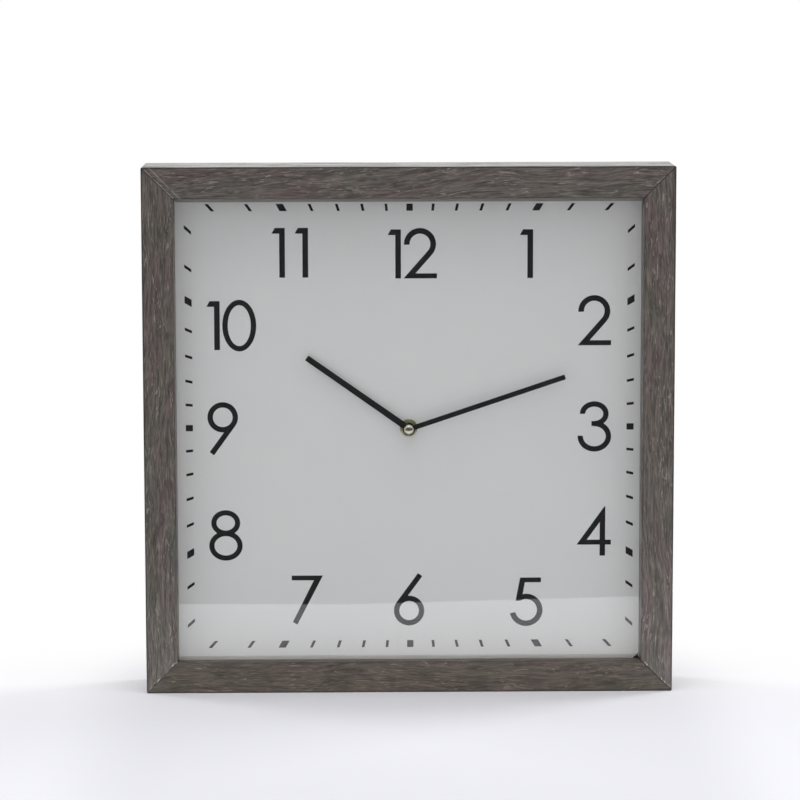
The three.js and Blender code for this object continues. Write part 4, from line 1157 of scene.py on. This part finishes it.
def washer_outline(angle):
    """Gives the washer's section, with its rim eased on both sides."""
    bore = NECK_RADIUS + NECK_PLAY
    flat_end = WASHER_RADIUS - WASHER_EDGE
    return [
        (bore, WASHER_BACK), (flat_end, WASHER_BACK), (WASHER_RADIUS, WASHER_BACK - WASHER_EDGE),
        (WASHER_RADIUS, WASHER_FRONT + WASHER_EDGE), (flat_end, WASHER_FRONT), (bore, WASHER_FRONT),
    ]


def nut_outline(angle):
    """Gives the nut's section. A cone cuts its six corners at the front and the back."""
    half = NUT_FLATS / 2
    from_flat = (angle + math.pi / 6) % (math.pi / 3) - math.pi / 6
    corner = half / math.cos(from_flat)
    flat_end = half * CHAMFER_START
    cut = NUT_CHAMFER * (corner - flat_end) / (half / math.cos(math.pi / 6) - flat_end)
    return [
        (NECK_RADIUS, NUT_BACK), (flat_end, NUT_BACK), (corner, NUT_BACK - cut),
        (corner, NUT_FRONT + cut), (flat_end, NUT_FRONT), (NECK_RADIUS + NUT_BORE_EASE, NUT_FRONT),
        (NECK_RADIUS, NUT_FRONT + NUT_BORE_EASE),
    ]


# Brass with a thin lacquer: pale greenish yellow, turned in fine rings that are drawn coarser than
# the tool leaves them, so that they show.
pale_brass, add = new_material("lacquered_pale_brass")
place = add("TexCoord", give="Object")
centred = add("Mapping", {"Vector": place, "Location": (0.0, 0.0, -MIDDLE_HEIGHT * MM)})
rings = add("TexWave", {
    "Vector": centred, "Scale": WAVE_OF_ONE / (RING_PITCH * MM), "Distortion": 1.5, "Detail": 2.0,
}, wave_type="RINGS", rings_direction="Y")
stain = add("TexNoise", {"Vector": place, "Scale": 400.0, "Detail": 3.0})
tone = add("Mix RGBA", {"Factor": stain, "A": "#bdb98c", "B": "#d2cea0"})
dull = add("MapRange", {"Value": rings, "To": (0.26, 0.4)})
skin = add("BsdfPrincipled", {"Base Color": tone, "Metallic": 1.0, "Roughness": dull})
add("OutputMaterial", {"Surface": skin})
turned("wide_washer", washer_outline, pale_brass, "clock", "brass", "disc_washer")
turned("neck_nut", nut_outline, pale_brass, "clock", "brass", "hex_nut")
dress(pale_brass, "threaded_neck")

# Black rubber, moulded matt, a little dusty.
black_rubber = fine_finish(
    "moulded_black_rubber", ("#262627", "#3c3c3d"), (350.0, 350.0, 350.0), 4.0,
    {"Roughness": 0.85, "IOR": 1.52}, relief=(0.3, 0.0001))
dress(black_rubber, "rubber_washer")


# Motion work
# Inside the case, the minute arbor drives the hour wheel through the setting arbor, whose knob
# stands out of the cover.
KNOB_PLACE = (5.85, 210.13)
KNOB_RADIUS = 6.0
KNOB_FRONT = 45.3
KNOB_BACK = 48.3
KNOB_FLUTES = 20
KNOB_FLUTE = 0.7
KNOB_STEPS = 240
KNOB_EASE = 0.2
KNOB_CHAMFER = 0.5
KNOB_DISH = 0.4
DISH_RIM = 0.62
DISH_FLOOR = 0.55
GUARD_INNER = 7.4
GUARD_OUTER = 8.8
GUARD_RISE = 0.8
GUARD_SOFT = 0.25

# Turned steel: light grey with a fine turned sheen.
turned_steel = fine_finish(
    "turned_bright_steel", ("#b2b4b6", "#c8c9ca"), (300.0, 9000.0, 300.0), 2.0, {"Metallic": 1.0},
    dull=(0.2, 0.34))
dress(turned_steel, "minute_arbor")

# Acetal: milky white, waxy, with a faint flow mark.
white_acetal = fine_finish(
    "moulded_white_acetal", ("#dcdad2", "#e8e6df"), (260.0, 260.0, 260.0), 2.0,
    {"Roughness": 0.38, "IOR": 1.48})
dress(white_acetal, "hour_wheel", "setting_arbor")


def knob_outline(angle):
    """Gives the knob's section, with its rim waved by the flutes and its end face dished."""
    wave = 0.5 - 0.5 * math.cos(KNOB_FLUTES * angle)
    rim = KNOB_RADIUS - KNOB_FLUTE * wave
    floor = KNOB_BACK - KNOB_DISH
    return [
        (0.0, KNOB_FRONT), (rim - KNOB_EASE, KNOB_FRONT), (rim, KNOB_FRONT + KNOB_EASE),
        (rim, KNOB_BACK - KNOB_CHAMFER), (rim - KNOB_CHAMFER, KNOB_BACK),
        (KNOB_RADIUS * DISH_RIM, KNOB_BACK), (KNOB_RADIUS * DISH_FLOOR, floor), (0.0, floor),
    ]


def guard_outline(angle):
    """Gives the section of the low guard ring that is moulded on the cover round the knob."""
    back = COVER_BACK + GUARD_RISE
    return [
        (GUARD_INNER, COVER_BACK), (GUARD_INNER, back - GUARD_SOFT), (GUARD_INNER + GUARD_SOFT, back),
        (GUARD_OUTER - GUARD_SOFT, back), (GUARD_OUTER, back - GUARD_SOFT), (GUARD_OUTER, COVER_BACK),
    ]


turned("fluted_knob", knob_outline, black_abs, "setting", "case_plastic", "setting_knob",
       centre=KNOB_PLACE, closed=False, steps=KNOB_STEPS)
turned("knob_guard", guard_outline, black_abs, "clock", "case_plastic", centre=KNOB_PLACE)


# Going train and motor
# A coil turns the rotor magnet half round once a second, and the wheels step that down.
# All of it is hidden in the closed case.
RIDGE_PITCH = 1.571

dress(white_acetal, "drive_wheel", "third_wheel", "seconds_wheel", "intermediate_wheel", "rotor_pinion")
dress(white_acetal, "coil_bobbin")
dress(turned_steel, "stator", "coil_core", "quartz_crystal")

# Ground ferrite: dark grey, dull, with a dense fine grain.
ferrite = fine_finish(
    "ground_ferrite", ("#3f3f41", "#565658"), (2500.0, 2500.0, 2500.0), 2.0,
    {"Metallic": 0.6, "Roughness": 0.5})
dress(ferrite, "rotor_magnet")

# Enamelled copper wire, wound in close turns that show as bright ridges. The real wire is finer than
# a tenth of a millimetre, so the ridges are drawn coarser.
copper_wire, add = new_material("enamelled_copper_wire")
place = add("TexCoord", give="Object")
turns = add("TexWave", {
    "Vector": place, "Scale": WAVE_OF_ONE / (RIDGE_PITCH * MM), "Distortion": 0.6, "Detail": 1.0,
}, bands_direction="X")
tone = add("Mix RGBA", {"Factor": turns, "A": "#8a4420", "B": "#c87a48"})
bump = add("Bump", {"Height": turns, "Strength": 0.6, "Distance": 0.0001})
skin = add("BsdfPrincipled", {
    "Base Color": tone, "Metallic": 0.8, "Roughness": 0.3, "Coat Weight": 0.6, "Normal": bump,
})
add("OutputMaterial", {"Surface": skin})
dress(copper_wire, "coil_winding")

# Circuit board laminate under a green solder mask, with the tracks as paler lines.
solder_mask, add = new_material("green_solder_mask")
place = add("TexCoord", give="Object")
track = add("TexBrick", {
    "Vector": place, "Color1": "#1c5738", "Color2": "#1f5f3d", "Mortar": "#3b7a56",
    "Scale": 260.0, "Mortar Size": 0.03,
})
skin = add("BsdfPrincipled", {"Base Color": track, "Roughness": 0.3, "IOR": 1.55})
add("OutputMaterial", {"Surface": skin})
dress(solder_mask, "circuit_board")


# Hands
# Two flat bars stamped from sheet and painted matt black.
# The stamping leaves their edges very slightly round.
HAND_SOFT = 0.12

# Matt black paint with a faint orange peel.
black_paint = fine_finish(
    "matt_black_hand_paint", ("#060607", "#0b0b0d"), (1500.0, 1500.0, 1500.0), 2.0,
    {"Roughness": 0.55, "IOR": 1.5, "Specular IOR Level": 0.25}, relief=(0.2, 0.00005))
softened("hour_bar_hand", "hour_hand", black_paint, "hour", "black_paint", HAND_SOFT)
softened("minute_bar_hand", "minute_hand", black_paint, "minute", "black_paint", HAND_SOFT)


# Cap nut
# A domed nut, nickel plated to a mirror, that holds the minute hand on its arbor.
CAP_RADIUS = 3.8
CAP_FRONT = 12.0
CAP_BACK = 15.2
CAP_SKIRT = 0.64
CAP_EDGE = 0.15
CAP_BORE = 1.1
CAP_BORE_END = 13.3
DOME_STEPS = 14


def cap_outline(angle):
    """Gives the cap nut's section: its bore, its short skirt and its dome."""
    dome_depth = CAP_BACK - CAP_SKIRT
    rise = dome_depth - CAP_FRONT
    turns = [math.pi / 2 * step / DOME_STEPS for step in range(DOME_STEPS + 1)]
    dome = [(CAP_RADIUS * math.cos(t), dome_depth - rise * math.sin(t)) for t in turns]
    return [
        (0.0, CAP_BORE_END), (CAP_BORE, CAP_BORE_END), (CAP_BORE, CAP_BACK),
        (CAP_RADIUS - CAP_EDGE, CAP_BACK), (CAP_RADIUS, CAP_BACK - CAP_EDGE),
    ] + dome


# Nickel plate: a warm white mirror with a few very fine scratches.
nickel_plate = fine_finish(
    "bright_nickel_plate", ("#d6d0bf", "#e2dccb"), (700.0, 700.0, 700.0), 4.0, {"Metallic": 1.0},
    dull=(0.03, 0.12))
turned("domed_cap_nut", cap_outline, nickel_plate, "minute", "nickel", "cap_nut", closed=False)


# Cell and contacts
# One AA cell lies in the case's bay between two contacts of nickel-plated strip.
# Its plain wrap in two tones is shrunk over the rims of a steel can.
CELL_DEPTH = 37.95
CELL_HEIGHT = 180.75
CELL_RADIUS = 7.1
CELL_MINUS = -25.3
CELL_SHOULDER = 24.0
CELL_PLUS = 25.3
NUB_RADIUS = 2.7
NUB_EASE = 0.3
WRAP_ROUND = 0.7
WRAP_OVER = 1.1
WRAP_LIP = CELL_RADIUS - WRAP_OVER
END_SUNK = 0.35
ROUND_STEPS = 5
CELL_STEPS = 72
BAND_START = 9.5
BAND_END = 9.7
BARE_PAST_LIP = 0.02


def cell_outline(angle):
    """Gives the cell's section: a sunk minus end, the wrap's two round rims and the nub."""
    turns = [math.pi / 2 * step / ROUND_STEPS for step in range(ROUND_STEPS + 1)]
    inner = CELL_RADIUS - WRAP_ROUND
    rounds = [(inner + WRAP_ROUND * math.sin(t), WRAP_ROUND * (1 - math.cos(t))) for t in turns]
    low = [(radius, CELL_MINUS + rise) for radius, rise in rounds]
    high = [(radius, CELL_SHOULDER - rise) for radius, rise in reversed(rounds)]
    floor = CELL_MINUS + END_SUNK
    ledge = CELL_SHOULDER - END_SUNK
    return [
        (0.0, floor), (WRAP_LIP, floor), (WRAP_LIP, CELL_MINUS), *low,
        *high, (WRAP_LIP, CELL_SHOULDER), (WRAP_LIP, ledge), (NUB_RADIUS, ledge),
        (NUB_RADIUS, CELL_PLUS - NUB_EASE), (NUB_RADIUS - NUB_EASE, CELL_PLUS), (0.0, CELL_PLUS),
    ]


dress(nickel_plate, "battery_contact_plus", "battery_contact_minus")

# Shrink wrap in slate blue with a pale band, glossy, and bare bright steel inside its two rims.
cell_wrap, add = new_material("plain_printed_cell_wrap")
place = add("TexCoord", give="Object")
along = add("SeparateXYZ", [place], give="X")
from_axis = add("VectorMath SUBTRACT", [place, at(0.0, CELL_DEPTH, CELL_HEIGHT)])
from_axis = add("VectorMath MULTIPLY", [from_axis, (0.0, 1.0, 1.0)])
from_axis = add("VectorMath LENGTH", [from_axis], give="Value")
bare = add("Math LESS_THAN", [from_axis, (WRAP_LIP + BARE_PAST_LIP) * MM])
band_edge = add("MapRange", {"Value": along, "From": (BAND_START * MM, BAND_END * MM)})
print_grain = add("TexNoise", {"Vector": place, "Scale": 900.0, "Detail": 2.0})
tone = add("Mix RGBA", {"Factor": print_grain, "A": "#5b666b", "B": "#667176"})
for mask, colour in ((band_edge, "#b9bcbc"), (bare, "#c6c6c4")):
    tone = add("Mix RGBA", {"Factor": mask, "A": tone, "B": colour})
shine = add("MapRange", {"Value": bare, "To": (0.3, 1.0)})
skin = add("BsdfPrincipled", {"Base Color": tone, "Metallic": shine, "Roughness": 0.32, "IOR": 1.5})
add("OutputMaterial", {"Surface": skin})
cell = swept(
    cell_outline, False, CELL_STEPS, lambda y, z, across: at(across, CELL_DEPTH + y, CELL_HEIGHT + z))
formed("wrapped_cell", cell, cell_wrap, "clock", "cell_wrap", "battery")


# Hanger and pads
# A sawtooth strip nailed to the back of the top rail hangs the clock. Two pads keep the bottom rail
# off the wall.
HANGER_SOFT = 0.12
softened("sawtooth_hanger", "hanger", zinc_steel, "clock", "zinc_steel", HANGER_SOFT)
dress(zinc_steel, "hanger_nail_1", "hanger_nail_2")
dress(black_rubber, "wall_pad_left", "wall_pad_right")
